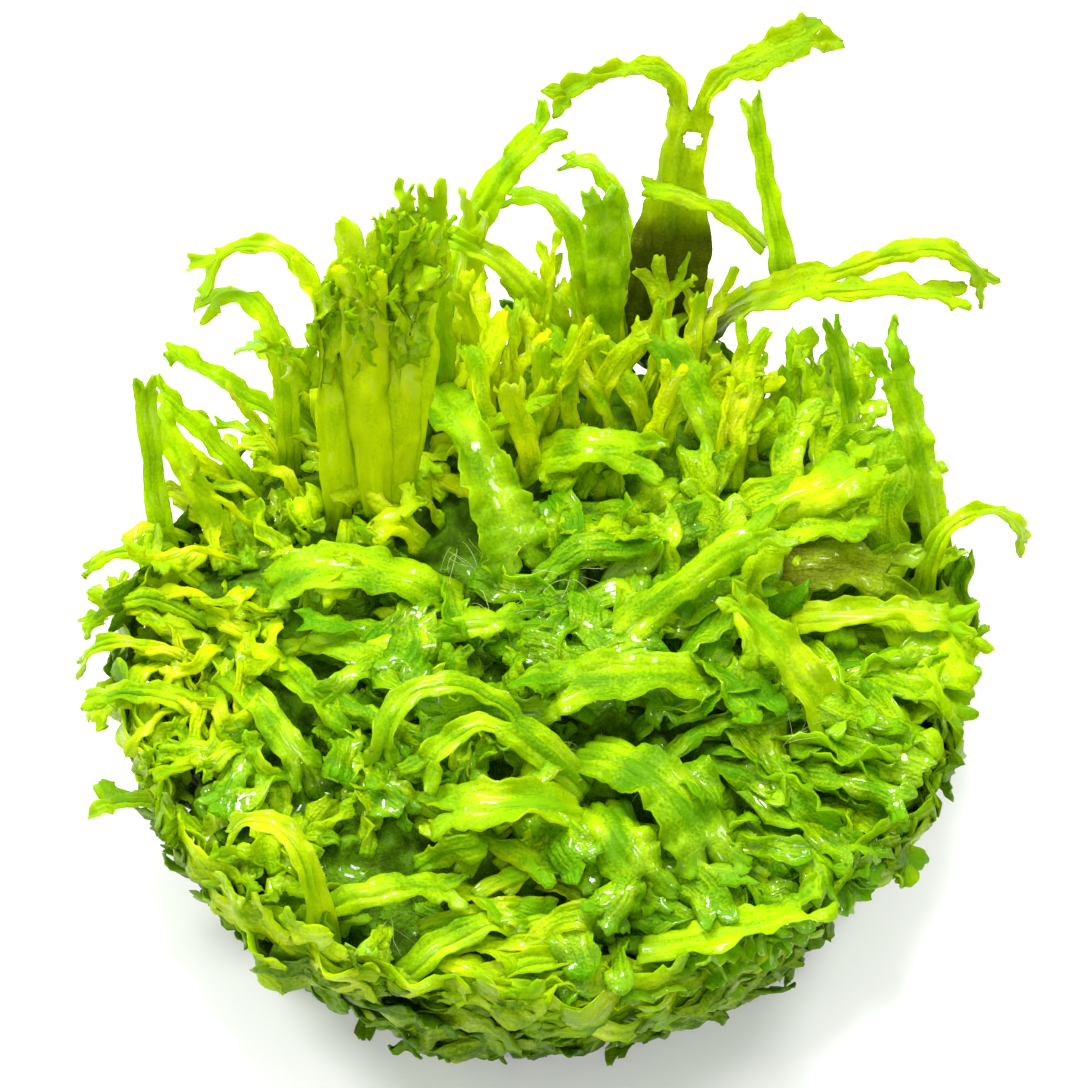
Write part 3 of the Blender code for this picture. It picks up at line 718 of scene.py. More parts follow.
BLADE = dict(SMALL, kind="blades", wander=10.0, crinkle=0.28, crinkle_length=3.0, frill=0.5, frill_length=4.5,
             ragged=0.10, lobe=0.7, pleat=0.12)
FROND = dict(SMALL, kind="fronds", wander=20.0, crinkle=0.36, frill=0.45, curl=40.0, ragged=0.18, bend=1.3,
             tear=0.35)
FRILLED = dict(SMALL, kind="frilled", wander=22.0, crinkle=0.62, frill=0.6, frill_length=2.6, crinkle_length=2.4,
               ragged=0.20, bend=1.5, tear=0.2, fine=0.4)
WET = dict(SMALL, kind="wet", wander=14.0, crinkle=0.32, crinkle_length=2.6, frill=0.5, frill_length=3.4,
           pleat=0.15, pleats=3.4, bend=1.3, ragged=0.10)
CROWN_KINDS = {"straps": lit_crown_tissue, "blades": mat_tissue, "fronds": lit_crown_tissue, "frilled": mat_tissue,
               "wet": wet_tissue}
HOLLOWS = ((-5.0, 0.5, 4.2), (3.2, -11.5, 2.8), (-7.5, 10.0, 2.8), (-13.0, -24.0, 2.4), (24.6, 7.4, 3.2))
HOLLOW_EDGE = 4.0
BROAD_GAPS = 0.3
HOLLOW_DEPTH = 2.3
# Rows of place, heading and its spread, rise at the root and at the tip, length, width, look and tone.
# The tones are higher at the back and the left: painted light.
CROWN_PARTS = (
    ((-31, 9), (170, 70), (15, 65), (-45, 30), (5.0, 11.0), (0.8, 1.7), CURLY, (0.9, 1.5)),
    ((-30, 2), (195, 80), (15, 60), (-50, 10), (4.0, 8.5), (0.9, 1.9), CURLY, (0.8, 1.5)),
    ((-25, 21), (135, 60), (35, 75), (-10, 45), (6.0, 12.0), (0.8, 1.7), CURLY, (1.0, 1.6)),
    ((-20, 26), (125, 60), (35, 80), (-20, 50), (4.5, 9.5), (1.3, 2.4), FROND, (0.9, 1.5)),
    ((-8, 30), (100, 45), (55, 82), (20, 76), (9.0, 16.0), (1.2, 2.2), UPRIGHT, (0.9, 1.5)),
    ((-5, 24), (90, 70), (50, 82), (10, 70), (7.5, 13.0), (1.5, 2.6), UPRIGHT, (1.0, 1.7)),
    ((8, 28), (85, 50), (50, 82), (10, 74), (7.5, 13.0), (1.3, 2.4), UPRIGHT, (0.7, 1.6)),
    ((14, 24), (70, 55), (40, 75), (-5, 55), (6.0, 10.5), (1.5, 2.8), UPRIGHT, (0.7, 1.5)),
    ((23, 22), (50, 45), (30, 65), (-10, 45), (7.5, 12.5), (1.8, 3.4), BLADE, (0.7, 1.3)),
    ((29, 13), (20, 35), (15, 45), (-15, 30), (10.0, 14.5), (3.0, 5.4), BLADE, (0.3, 0.9)),
    ((29, 4), (0, 35), (10, 35), (-20, 15), (10.0, 14.5), (2.8, 5.0), BLADE, (0.3, 1.0)),
    ((25, -7), (-25, 45), (10, 38), (-30, 5), (7.5, 12.0), (2.4, 4.2), WET, (0.4, 1.1)),
    ((18, -16), (-50, 40), (10, 38), (-35, 0), (8.0, 13.0), (2.4, 4.4), WET, (0.0, 0.6)),
    ((8, -24), (-55, 80), (12, 42), (-30, 5), (6.0, 10.0), (2.0, 3.8), WET, (0.0, 0.6)),
    ((-6, -27), (5, 60), (12, 40), (-25, 8), (5.5, 9.5), (1.6, 3.0), STRAP, (0.0, 0.5)),
    ((-14, -25), (60, 180), (20, 60), (-45, 20), (4.0, 7.5), (1.6, 3.0), FRILLED, (0.2, 0.7)),
    ((-24, -17), (150, 120), (20, 60), (-45, 15), (4.0, 8.0), (1.3, 2.4), FRILLED, (0.4, 0.9)),
    ((-30, -8), (190, 90), (15, 55), (-50, 10), (4.5, 9.0), (1.0, 1.9), CURLY, (0.6, 1.2)),
    ((-18, -9), (-20, 120), (12, 40), (-35, 10), (6.5, 10.5), (1.8, 3.2), WET, (0.0, 0.5)),
    ((-8, -12), (0, 180), (20, 60), (-40, 20), (4.5, 7.5), (1.6, 3.0), FRILLED, (0.1, 0.6)),
    ((-20, 9), (0, 180), (30, 70), (-45, 30), (3.5, 6.5), (1.8, 3.2), FRILLED, (1.1, 1.8)),
    ((-12, 16), (60, 120), (30, 70), (-20, 40), (4.0, 7.5), (1.8, 3.0), FROND, (0.6, 1.3)),
    ((0, 3), (0, 180), (8, 38), (-30, 10), (7.0, 11.5), (2.4, 4.2), WET, (0.0, 0.35)),
    ((6, -6), (-20, 60), (8, 38), (-30, 8), (8.0, 12.5), (2.6, 4.6), WET, (0.0, 0.45)),
    ((8, 14), (0, 180), (25, 65), (-35, 30), (3.5, 7.0), (2.0, 3.6), FRILLED, (0.4, 1.2)),
    ((17, 9), (30, 60), (20, 55), (-20, 35), (6.0, 10.0), (2.2, 4.2), BLADE, (0.5, 1.2)),
)


def crown():
    chance = np.random.default_rng(51)
    draw = chance.uniform
    centres = np.array([part[0] for part in CROWN_PARTS], float)
    made = {kind: [] for kind in CROWN_KINDS}
    for x, y in golden_places(CROWN_COUNT, CROWN_RADIUS, chance, 1.0):
        hollow = any(math.hypot(x - hx, y - hy) < size for hx, hy, size in HOLLOWS)
        near = np.hypot(*(centres - (x, y)).T) + draw(0, 7, len(centres))
        _, lean, low, high, long, wide, look, tones = CROWN_PARTS[int(np.argmin(near))]
        depth = draw()
        level = CROWN_LEVEL + DOME_RISE * (1 - (math.hypot(x, y) / CROWN_RADIUS) ** 2) + 2.0 * depth
        width, length = draw(*wide), draw(*long)
        rise = draw(*low), draw(*high)
        heading, turn = lean[0] + draw(-1, 1) * lean[1], draw(-45, 45)
        for hx, hy, size in HOLLOWS:
            if size <= math.hypot(x - hx, y - hy) < size + HOLLOW_EDGE:
                heading = math.degrees(math.atan2(y - hy, x - hx)) + draw(-60, 60)
        if look is BLADE and draw() < BROAD_GAPS:
            continue
        if hollow:
            width, length, rise, look, level = 1.6, 4.0, (12.0, -10.0), FRILLED, level - HOLLOW_DEPTH
        parts = small_thallus(chance, heading, turn, rise, length,
                              (width * 0.75, width, width * draw(0.9, 1.25)), look,
                              roll=draw(-40, 40))
        limit = reach_limit(math.atan2(y, x)) - CROWN_LIMIT
        root = drawn_in(parts[0], np.array([x, y, level]), limit, max(1.0, math.hypot(x, y)))
        # Painted shade: the deeper a thallus is set, the darker its tone, and in a hollow it is darkest.
        tone = 0.0 if hollow else draw(*tones) * (0.45 + 0.55 * depth)
        made[look["kind"]].append((parts[0] + root, *parts[1:], tone))
        if look is CURLY:
            wide = draw(1.6, 2.6)
            parts = small_thallus(chance, draw(0, 360), 0, (15, -15), draw(4, 6.5), (wide, wide, wide),
                                  FRILLED)
            made["frilled"].append((parts[0] + root * 0.97, *parts[1:], draw(0.3, 1.1)))
    for kind, material in CROWN_KINDS.items():
        joined_piece("crown_" + kind, made[kind], material, "mat")


crown()

# The long thalli across the top of the clump: broad, smooth, fleshy ribbons that lie over each other.
# Each grew out of the mat at its root, and is thickest along its midrib.
LONG_COLUMNS = 16
SETTLE_STEP = 0.3
SOLID_RIB, SOLID_STEP = 1.2, 0.6
ARM_GAP, ARM_WANDER = 0.34, 2.0
FOOT_DEPTH = 2.6
TO_VIEWER = np.array([0.0, -0.616, 0.788])
GREEN = tissue("thallus_green", deep=(0.085, 0.26, 0.0004), bright=(0.57, 0.83, 0.0006),
               tip=(0.09, 0.28, 0.0004), root=(0.12, 0.26, 0.0004), through=(0.70, 0.89, 0.0006),
               root_colour_span=(0.0, 0.2), streaky=0.3, relief=0.0002)
PALE = tissue("thallus_pale", deep=(0.19, 0.44, 0.0006), bright=(0.66, 0.83, 0.0008),
              tip=(0.20, 0.44, 0.0006), root=(0.28, 0.46, 0.0006), through=(0.74, 0.85, 0.0008),
              root_colour_span=(0.0, 0.2), streaky=0.3, relief=0.0002)
BROWNISH = tissue("thallus_brownish", deep=(0.090, 0.120, 0.0010), bright=(0.30, 0.42, 0.0012),
                  tip=(0.20, 0.40, 0.0008), root=(0.060, 0.060, 0.0020), through=(0.50, 0.66, 0.0012),
                  clear=(0.2, 0.5), root_colour_span=(0.1, 0.5), wet=0.3)
OLIVE = tissue("thallus_olive", deep=(0.12, 0.26, 0.0008), bright=(0.50, 0.68, 0.0012),
               tip=(0.07, 0.22, 0.0006), root=(0.022, 0.018, 0.0010), through=(0.72, 0.83, 0.0010),
               clear=(0.3, 0.66), wet=0.0, root_colour_span=(0.33, 0.44), dark_tip=1.0, veiled=0.0)
BROWN_FOOT = tissue("thallus_brown_foot", deep=(0.18, 0.38, 0.0008), bright=(0.52, 0.70, 0.0012),
                    tip=(0.18, 0.42, 0.0010), root=(0.024, 0.018, 0.0010), through=(0.68, 0.76, 0.0010),
                    clear=(0.3, 0.60), wet=0.0, root_colour_span=(0.10, 0.26), veiled=0.0)
LOOKS = {"green": (GREEN, "thallus"), "young": (PALE, "thallus"), "pale": (PALE, "pale_thallus"),
         "brownish": (BROWNISH, "thallus"), "olive": (OLIVE, "olive_thallus"),
         "brown_foot": (BROWN_FOOT, "olive_thallus")}
LONG = dict(wander=5.0, ragged=0.09, frill=0.42, frill_length=4.2, bend=1.2, rib=0.50, fine=0.4,
            pleat=0.13, pleats=3.0, curl=30.0, flare=0.2, tear=0.2, round=0.1, lobe=0.55, point=0.7,
            crinkle=0.28, crinkle_length=2.4)
TUFT = dict(FRILLED, tear=0.5, crinkle=0.45, point=0.4)
TUFT_LENGTHS, TUFT_WIDTHS = (3.0, 6.4), (1.5, 3.0)


def course_of(row, fine, chance, wander, parting=None):
    """The course that a row of values asks for."""
    return course(row["heading"], row["turn"], row["rise"], row.get("late", 1), row.get("roll", 0),
                  row["length"], fine, chance, wander, parting)


def plain_low(row):
    """The lowest point of the row's solid, measured from its root."""
    path = course_of(row, SOLID_STEP, np.random.default_rng(0), 0.0)
    share = np.linspace(0, 1, len(path[0]))
    half = (row["width"][0] + (row["width"][1] - row["width"][0]) * share) / 2
    side = np.abs(path[2][:, 2]) * half
    rib = np.abs(path[3][:, 2]) * SOLID_RIB / 2
    return np.min(path[0][:, 2] - np.maximum(side, rib))


def settled(name, row):
    """The root of a stem, raised in the same steps as the solid that it stands for."""
    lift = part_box(name)[0].z / MM - (row["root"][2] + plain_low(row))
    return np.array(row["root"], float) + np.array([0, 0, SETTLE_STEP * round(lift / SETTLE_STEP)])


def long_thallus(name, seed, arms=None, beside=(), tufted=(0, 0.8), forward=0.0, look_of=(), holes=(), **row):
    """A long thallus in the place of its solid.

    Its arms grow out of it as one piece with it. beside are others that stand against it, tufted is how
    many small teeth it bears and from what share of its length, and forward is how much nearer the
    photograph's viewer it lies than its solid, in millimetres.
    """
    chance = np.random.default_rng(seed)
    draw = chance.uniform
    look = dict(LONG, **dict(look_of))
    sheet = Sheet()
    path = rooted(course_of(row, look["fine"], chance, look["wander"]), FOOT_DEPTH, look["fine"])
    columns = LONG_COLUMNS * (2 if arms else 1)
    total = row["length"] + (max(arm["length"] for arm in arms.values()) if arms else row["fork"][0])
    start = row["length"] / total
    last, half = blade(sheet, path, row["width"], columns, look, chance, 0.0, start)
    point, tangent, left, up = path
    for arm in (arms or {}).values():
        side, own = arm["side"], columns // 2
        arm_path = course_of(arm, look["fine"], chance, ARM_WANDER, (tangent[-1], left[-1]))
        aside = left[-1] * (side * (arm["width"][0] / 2 + ARM_GAP / 2))
        arm_path = (arm_path[0] + (point[-1] + aside + tangent[-1] * ARM_GAP), *arm_path[1:])
        arm_look = dict(look, **arm.get("look_of", {}))
        arm_end = (row["length"] + arm["length"]) / (total + arm["fork"][0])
        tip, tip_half = blade(sheet, arm_path, arm["width"], own, arm_look, chance, start, arm_end - start,
                              last[own:] if side > 0 else last[:own + 1], row["length"])
        lobes(sheet, tip_of(arm_path), tip, tip_half, arm["fork"], own, arm_look, chance, arm_end,
              row["length"] + arm["length"])
    if not arms:
        lobes(sheet, tip_of(path), last, half, row["fork"], columns, look, chance, start, row["length"])
    holes = [(point[-1] + np.array(offset), size) for offset, size in holes]
    root = settled(name, row) + TO_VIEWER * forward
    parts = sheet.solid(look["crinkle"], look["crinkle_length"], chance, holes)
    made = [(parts[0] + root, *parts[1:], row["tone"])]
    for at, way, rise, length, width, fork, tone in beside:
        parts = small_thallus(chance, *way, rise, length, width, look, fork=fork,
                              columns=LONG_COLUMNS // 2 + 2)
        made.append((parts[0] + root + np.array(at), *parts[1:], tone))
    count, low = tufted
    for _ in range(count):
        k = int(draw(low, 1.0) * (len(point) - 1))
        heading = math.degrees(math.atan2(tangent[k][1], tangent[k][0])) + draw(-110, 110)
        width = draw(*TUFT_WIDTHS)
        parts = small_thallus(chance, heading, 0, (draw(50, 80), draw(35, 85)), draw(*TUFT_LENGTHS),
                              (width * 0.8, width, width * 0.5), TUFT)
        offset = left[k] * draw(-1.1, 1.1) * half + up[k] * draw(0.0, 0.9)
        made.append((parts[0] + root + point[k] + offset, *parts[1:], draw(0.0, 0.5)))
    material, slot = LOOKS[row["look"]]
    joined_piece(name + "_thallus", made, material, slot, [name, *(arms or ())])


def long_thalli(first_seed, rows):
    """Rows of name, root, heading and its turn, rise at the root and at the tip, length, widths,
    length and spread of the fork, look, tone, and what only that thallus has."""
    for seed, row in enumerate(rows, first_seed):
        name, root, (heading, turn), rise, length, width, fork, look, tone, *own = row
        long_thallus(name, seed, root=root, heading=heading, turn=turn, rise=rise, length=length,
                     width=width, fork=fork, look=look, tone=tone, **dict(*own))


CRINKLED = dict(crinkle=0.36, crinkle_length=2.2, frill=0.6, frill_length=3.4, ragged=0.14)

long_thalli(101, (
    ("drooping_ribbon", (-9.6, 24.6, 24.0), (-70, 4), (32, -34), 19.0, (4.4, 6.0), (3.2, 40), "green", 0.3,
     dict(look_of=dict(CRINKLED, ragged=0.22, frill=0.8))),
    ("left_centre_strap", (-9.4, 4.2, 21.4), (172, 12), (38, -26), 13.5, (4.4, 5.0), (3.0, 60), "green", 0.62),
    ("right_centre_strap", (5.6, -1.2, 21.6), (38, -18), (38, 16), 14.5, (3.8, 3.8), (3.0, 60), "green", 0.52),
    ("broad_leaf_centre", (13.0, -5.6, 21.8), (192, -12), (36, -28), 13.0, (4.8, 5.4), (3.0, 46), "green", 0.5),
    ("glossy_leaf_right", (4.4, -12.0, 21.2), (-38, -20), (34, -30), 13.0, (4.6, 5.6), (3.2, 56), "green", 0.15,
     dict(look_of=dict(CRINKLED, pleat=0.22, pleats=4.0), forward=1.5)),
    ("yellow_leaf_right", (23.0, -7.6, 20.8), (138, 4), (46, 24), 11.5, (5.2, 3.0), (1.8, 34), "pale", 0.4,
     dict(forward=1.2)),
    ("looped_stem", (1.4, -13.6, 20.8), (152, -4), (40, 18), 5.8, (3.2, 3.8), None, "green", 0.5,
     dict(forward=1.2, arms={
         "looped_stem_left_arm": dict(side=-1, heading=158, turn=108, rise=(24, -44), late=1.6, length=14.5,
                                      width=(1.8, 2.6), fork=(2.0, 50)),
         "looped_stem_front_arm": dict(side=1, heading=196, turn=34, rise=(0, -20), length=7.0,
                                       width=(1.8, 3.0), fork=(2.2, 56))})),
    ("crossed_strap_back", (-18.2, -0.6, 21.4), (-34, 26), (28, -26), 9.5, (3.6, 3.4), (2.4, 52), "green", 0.5),
    ("crossed_strap_middle", (-21.4, -4.2, 21.2), (-62, 30), (26, -24), 7.5, (2.8, 2.8), (1.8, 52), "green", 0.4),
    ("crossed_strap_front", (-25.6, -5.0, 20.6), (-62, 10), (26, -22), 9.0, (2.8, 2.8), (2.2, 52), "green", 0.4),
    ("small_strap_centre", (-11.0, -0.2, 21.2), (-4, 22), (34, -20), 9.0, (2.8, 3.0), (2.4, 52), "green", 0.3,
     dict(look_of=CRINKLED)),
    ("cut_leaf_back", (-1.0, 18.6, 21.2), (-6, -4), (48, -14), 9.0, (4.4, 4.4), (3.0, 60), "green", 0.62),
    ("short_strap_back", (15.4, 20.0, 20.8), (128, -4), (48, 22), 10.5, (3.6, 3.4), (2.6, 52), "green", 0.4),
))

# The long thalli at the right: a fan of broad straps, the middle one old and brownish, and slender ones
# that lean out over the rim.
FISH_TAIL = dict(lobe=0.9, flare=0.5)
long_thalli(121, (
    ("right_fan_back", (17.0, 12.6, 21.0), (2, 14), (40, 14), 10.5, (3.4, 5.0, 5.6), (2.8, 60), "pale", 0.4,
     dict(look_of=dict(ragged=0.2))),
    ("right_fan_middle", (19.8, 7.0, 20.8), (-6, -6), (28, -10), 9.0, (4.4, 5.6, 5.2), (3.4, 66), "brownish", 0.2,
     dict(look_of=dict(bend=1.5, cupped=0.8))),
    ("right_fan_front", (19.8, 1.4, 20.8), (-8, 8), (26, -12), 14.0, (3.8, 3.0), (2.4, 60), "pale", 0.4),
    ("right_long_thallus", (33.4, 11.6, 19.0), (106, 14), (58, 42), 15.5, (2.6, 2.6, 3.4), (4.2, 60), "green", 0.4,
     dict(look_of=dict(CRINKLED, curl=190))),
    ("right_curled_tip", (32.2, 7.4, 19.0), (64, -90), (76, -74), 13.5, (2.0, 1.8), (1.6, 40), "pale", 0.4,
     dict(late=1.3)),
    ("right_low_strap", (25.4, -3.2, 20.2), (-26, -6), (28, -24), 9.5, (2.8, 2.4), (2.0, 46), "green", 0.4),
    ("right_upright_tip", (26.8, 21.6, 19.5), (118, 0), (70, 62), 11.5, (2.0, 1.7), (1.6, 40), "green", 0.4),
    ("right_low_tip", (25.4, -18.2, 18.4), (-20, -8), (6, -34), 4.0, (1.6, 1.8, 3.0), (2.4, 74), "green", 0.4,
     dict(roll=-10, look_of=FISH_TAIL)),
))

# The long thalli along the front: short leaves and hooked straps that come up out of the mat just behind
# the wall and lie on it.
long_thalli(131, (
    ("front_leaf_left", (1.0, -17.6, 21.0), (198, -22), (42, -26), 9.0, (4.6, 4.8), (3.2, 56), "pale", 0.15,
     dict(forward=1.2)),
    ("front_leaf_glossy", (4.4, -18.0, 21.0), (-70, 8), (44, -30), 8.0, (5.0, 5.4), (2.8, 48), "green", 0.1,
     dict(look_of=dict(CRINKLED, pleat=0.22, pleats=4.0))),
    ("front_hook_left", (-18.4, -27.4, 18.4), (112, 74), (70, -62), 14.0, (2.9, 1.9), (1.5, 36), "pale", 0.8,
     dict(late=2.2)),
    ("front_boat_leaf", (9.8, -29.4, 19.2), (-2, 26), (20, -4), 11.0, (4.2, 4.2), (3.0, 60), "green", 0.8,
     dict(roll=-22, forward=1.5)),
    ("front_strap_left", (-16.4, -25.6, 19.6), (2, 2), (36, -24), 8.0, (2.8, 2.8), (2.2, 50), "green", 0.62),
    ("front_strap_middle", (-10.0, -30.4, 18.4), (28, -10), (32, -20), 8.0, (2.7, 2.6), (2.0, 52), "green", 0.4),
    ("front_strap_low", (-5.4, -32.4, 17.8), (14, -4), (28, -18), 8.5, (2.6, 2.4), (2.0, 52), "pale", 0.4),
))

# The thalli at the left: a bunch that stands upright from the mat, two that arch over and hang, and
# slender straps that lean out over the rim. Those of the bunch are gutters with small teeth at the top.
BUNCH = dict(bend=1.7, ragged=0.07, frill=0.25, crinkle=0.2, pleat=0.17, pleats=2.0, tear=0.6)
# The tones of the upright bunch are set high: painted light, where it stands up against the light from behind.
long_thalli(141, (
    ("upright_bunch_tall", (-13.5, 14.0, 20.0), (80, 6), (68, 58), 24.5, (2.8, 4.2, 4.6, 4.0), (3.2, 60), "young",
     1.5, dict(look_of=BUNCH, tufted=(30, 0.58), beside=(
         ((-0.4, 0.4, 0.2), (94, 6), (68, 58), 24.0, (2.0, 4.0, 5.2), (2.6, 56), 1.1),
         ((-1.1, -0.5, 0.2), (99, -4), (70, 62), 20.5, (2.2, 4.2, 4.0), (3.0, 60), 1.8),
         ((0.7, 0.4, 0), (68, 12), (68, 60), 22.0, (2.0, 3.2, 3.0), (2.4, 56), 1.3),
         ((-1.9, 0.6, 0), (106, 0), (66, 58), 17.0, (2.0, 3.2, 3.0), (2.4, 56), 1.2)))),
    ("upright_bunch_side", (-18.1, 14.8, 20.0), (92, 8), (68, 60), 20.5, (2.2, 3.8, 3.8), (3.0, 60), "young", 1.5,
     dict(roll=6, look_of=BUNCH, tufted=(16, 0.6))),
    ("upright_bunch_back", (-9.4, 27.8, 20.5), (92, 6), (76, 68), 19.0, (2.8, 2.5), (2.0, 36), "pale", 0.5,
     dict(roll=-6)),
    ("high_arch_left", (-17.2, 23.0, 21.0), (118, 80), (82, -46), 25.0, (2.0, 1.8), (4.0, 56), "pale", 0.4,
     dict(late=2.6, look_of=dict(lobe=1.1, point=1.6))),
    ("low_arch_left", (-22.4, 20.4, 20.0), (90, 100), (84, -50), 20.5, (1.8, 2.3), (2.4, 36), "pale", 0.5,
     dict(late=2.6)),
    ("left_strap_upper", (-22.0, 23.4, 20.0), (176, -14), (46, 26), 12.5, (2.6, 2.3), (2.0, 60), "green", 0.95,
     dict(roll=6)),
    ("left_strap_middle", (-26.4, 18.6, 19.0), (152, -2), (50, 32), 10.5, (2.2, 2.0), (1.8, 52), "green", 0.95),
    ("left_strap_lower", (-28.4, 12.8, 19.0), (128, -4), (44, 30), 10.5, (2.6, 2.2), (1.9, 60), "pale", 0.5),
    ("far_left_upright", (-33.0, 12.4, 18.2), (110, -20), (56, 70), 14.0, (2.2, 2.0), (1.6, 44), "green", 0.8),
    ("left_hook_back", (-30.8, 8.2, 19.5), (166, 22), (46, -46), 9.0, (2.0, 1.8), (2.0, 50), "pale", 0.5,
     dict(late=1.2, roll=8)),
    ("left_hook_middle", (-31.0, 4.4, 19.5), (174, 24), (40, -54), 8.5, (1.9, 1.8), (1.8, 44), "green", 0.8,
     dict(late=1.2, roll=8)),
    ("left_hook_front", (-32.0, 0.0, 19.0), (172, 16), (38, -66), 8.5, (1.7, 1.8), (1.8, 44), "pale", 0.5,
     dict(late=1.4, roll=8)),
    ("left_pointed_tip", (-30.6, -5.2, 18.8), (176, 0), (26, -24), 7.0, (2.6, 2.2), (2.0, 50), "green", 0.8),
    ("left_low_tip", (-33.0, -11.4, 14.5), (172, -12), (-8, -34), 4.0, (1.4, 1.4, 2.2), (2.4, 74), "green", 0.4,
     dict(roll=-12, look_of=FISH_TAIL)),
))

# The tall thalli at the back, which stand up clear of the clump against the light. The two oldest are
# brown at the foot, and each forks into two long arms.
long_thalli(161, (
    ("tall_stem_back", (10.2, 34.2, 19.5), (80, -8), (78, 62), 22.5,
     (6.2, 6.8, 7.0, 6.9, 6.8, 6.4, 4.4, 4.2, 4.6), None, "olive", 0.6,
     dict(look_of=dict(bend=1.5), holes=(((0.25, -1.07, -2.1), 0.85),), arms={
         "tall_stem_left_arm": dict(side=1, heading=162, turn=34, rise=(8, -30), length=12.0, width=(2.1, 2.8),
                                    fork=(2.6, 70), look_of=CRINKLED),
         "tall_stem_right_arm": dict(side=-1, heading=24, turn=2, rise=(6, 4), length=12.0,
                                     width=(1.9, 2.4, 4.4, 5.4), fork=(2.0, 46), look_of=CRINKLED)})),
    ("right_stem_back", (14.4, 35.0, 20.4), (-10, -4), (48, 30), 12.0, (4.8, 4.6), None, "brown_foot", 0.6,
     dict(arms={
         "right_stem_upper_arm": dict(side=1, heading=14, turn=-34, rise=(30, -64), late=2, length=15.6,
                                      width=(2.1, 2.4), roll=8, fork=(2.0, 70)),
         "right_stem_lower_arm": dict(side=-1, heading=-6, turn=12, rise=(12, -20), length=12.0,
                                      width=(2.2, 3.2), roll=-6, fork=(1.8, 80))})),
    ("right_twin_tall", (20.6, 38.2, 25.2), (114, -10), (60, 46), 13.5, (2.8, 1.8), (2.0, 34), "green", 0.8),
    ("right_twin_left", (17.2, 39.4, 27.8), (164, 14), (48, 2), 9.2, (2.0, 2.4), (1.5, 50), "pale", 0.4,
     dict(forward=4.0)),
    ("curled_tip_back", (6.8, 37.0, 18.6), (86, 96), (84, 0), 18.5, (1.5, 2.1), (1.5, 44), "green", 0.8,
     dict(late=3)),
    ("broad_ribbon_back", (-8.6, 34.6, 19.5), (76, -50), (76, 36), 21.0, (3.2, 2.8), (3.0, 84), "green", 0.8,
     dict(roll=8)),
    ("crossing_ribbon_back", (1.0, 32.2, 22.4), (158, 6), (66, 12), 14.0, (2.8, 2.2), (2.0, 80), "pale", 0.5,
     dict(late=1.3, roll=-28)),
    ("arching_ribbon_back", (3.0, 36.0, 19.5), (92, 98), (82, -20), 16.5, (2.0, 2.2), (1.6, 44), "green", 0.8,
     dict(late=2.2)),
    ("upright_tip_back", (5.0, 32.4, 20.0), (92, 4), (78, 64), 14.5, (2.6, 3.2), (2.4, 56), "green", 0.3,
     dict(look_of=CRINKLED)),
))

# The two long thalli of the far side: straps of the same living tissue that grew out of the top of the mat
# and hang over the rim there, as those of the near side do.
long_thalli(171, (
    ("back_left_strap", (-21.0, 28.0, 18.8), (128, -8), (34, -44), 9.5, (2.6, 2.4), (2.2, 56), "green", 0.4,
     dict(late=1.2)),
    ("back_right_strap", (22.0, 27.0, 18.8), (52, 8), (34, -44), 9.5, (2.6, 2.4), (2.2, 56), "green", 0.4,
     dict(late=1.2)),
))

# The root hairs: white threads of single cells that grew out of the midribs in the damp hollows. They are
# finer than a tenth of a millimetre, and lie loosely in bundles.
HAIR_RADIUS = 0.028
HAIR_STEP = 0.25
HAIR_SIDES = 3
HAIR_WANDER = 10.0
# Rows of place, count, length, heading and its spread, rise at the root and at the tip.
HAIR_BUNDLES = (
    ((-7.6, 9.4, 21.0), 9, (2.5, 4.5), (-80, 40), (25, -35)),
    ((-4.0, 1.0, 20.6), 12, (2.5, 5.0), (60, 180), (50, -30)),
    ((2.0, 5.5, 22.0), 8, (2.0, 4.0), (-90, 180), (55, -20)),
    ((7.0, -15.6, 20.4), 6, (2.5, 4.0), (30, 60), (40, -20)),
    ((20.0, -11.0, 21.4), 5, (2.5, 4.0), (60, 60), (45, -10)),
    ((-13.2, -27.0, 18.6), 6, (2.5, 4.5), (-60, 60), (30, -50)),
    ((-2.6, -31.4, 17.6), 9, (1.6, 3.0), (-20, 50), (40, 10)),
    ((2.4, -11.6, 19.4), 9, (2.0, 4.0), (0, 180), (45, -30)),
)


def root_hairs():
    chance = np.random.default_rng(61)
    draw = chance.uniform
    for place, count, lengths, (heading, spread), rise in HAIR_BUNDLES:
        for _ in range(count):
            length = draw(*lengths)
            points, _, left, up = course(heading + draw(-spread, spread), draw(-45, 45),
                                         (rise[0] + draw(-25, 25), rise[1] + draw(-25, 25)),
                                         1.0, 0.0, length, HAIR_STEP, chance, HAIR_WANDER)
            turns = np.arange(HAIR_SIDES) * 2 * math.pi / HAIR_SIDES
            share = np.linspace(0, 1, len(points))
            radius = HAIR_RADIUS * (1 - 0.6 * share)[:, None, None]
            ring = left[:, None, :] * np.cos(turns)[:, None] + up[:, None, :] * np.sin(turns)[:, None]
            start = np.array(place) + draw(-0.9, 0.9, 3)
            corners = (points[:, None, :] + start + ring * radius).reshape(-1, 3)
            index = np.arange(len(corners)).reshape(len(points), HAIR_SIDES)
            beside = np.roll(index, -1, axis=1)
            quads = np.stack((index[:-1], beside[:-1], beside[1:], index[1:]), axis=-1).reshape(-1, 4)
            yield corners, quads, {"along": np.repeat(share, HAIR_SIDES)}, draw(0, 1)


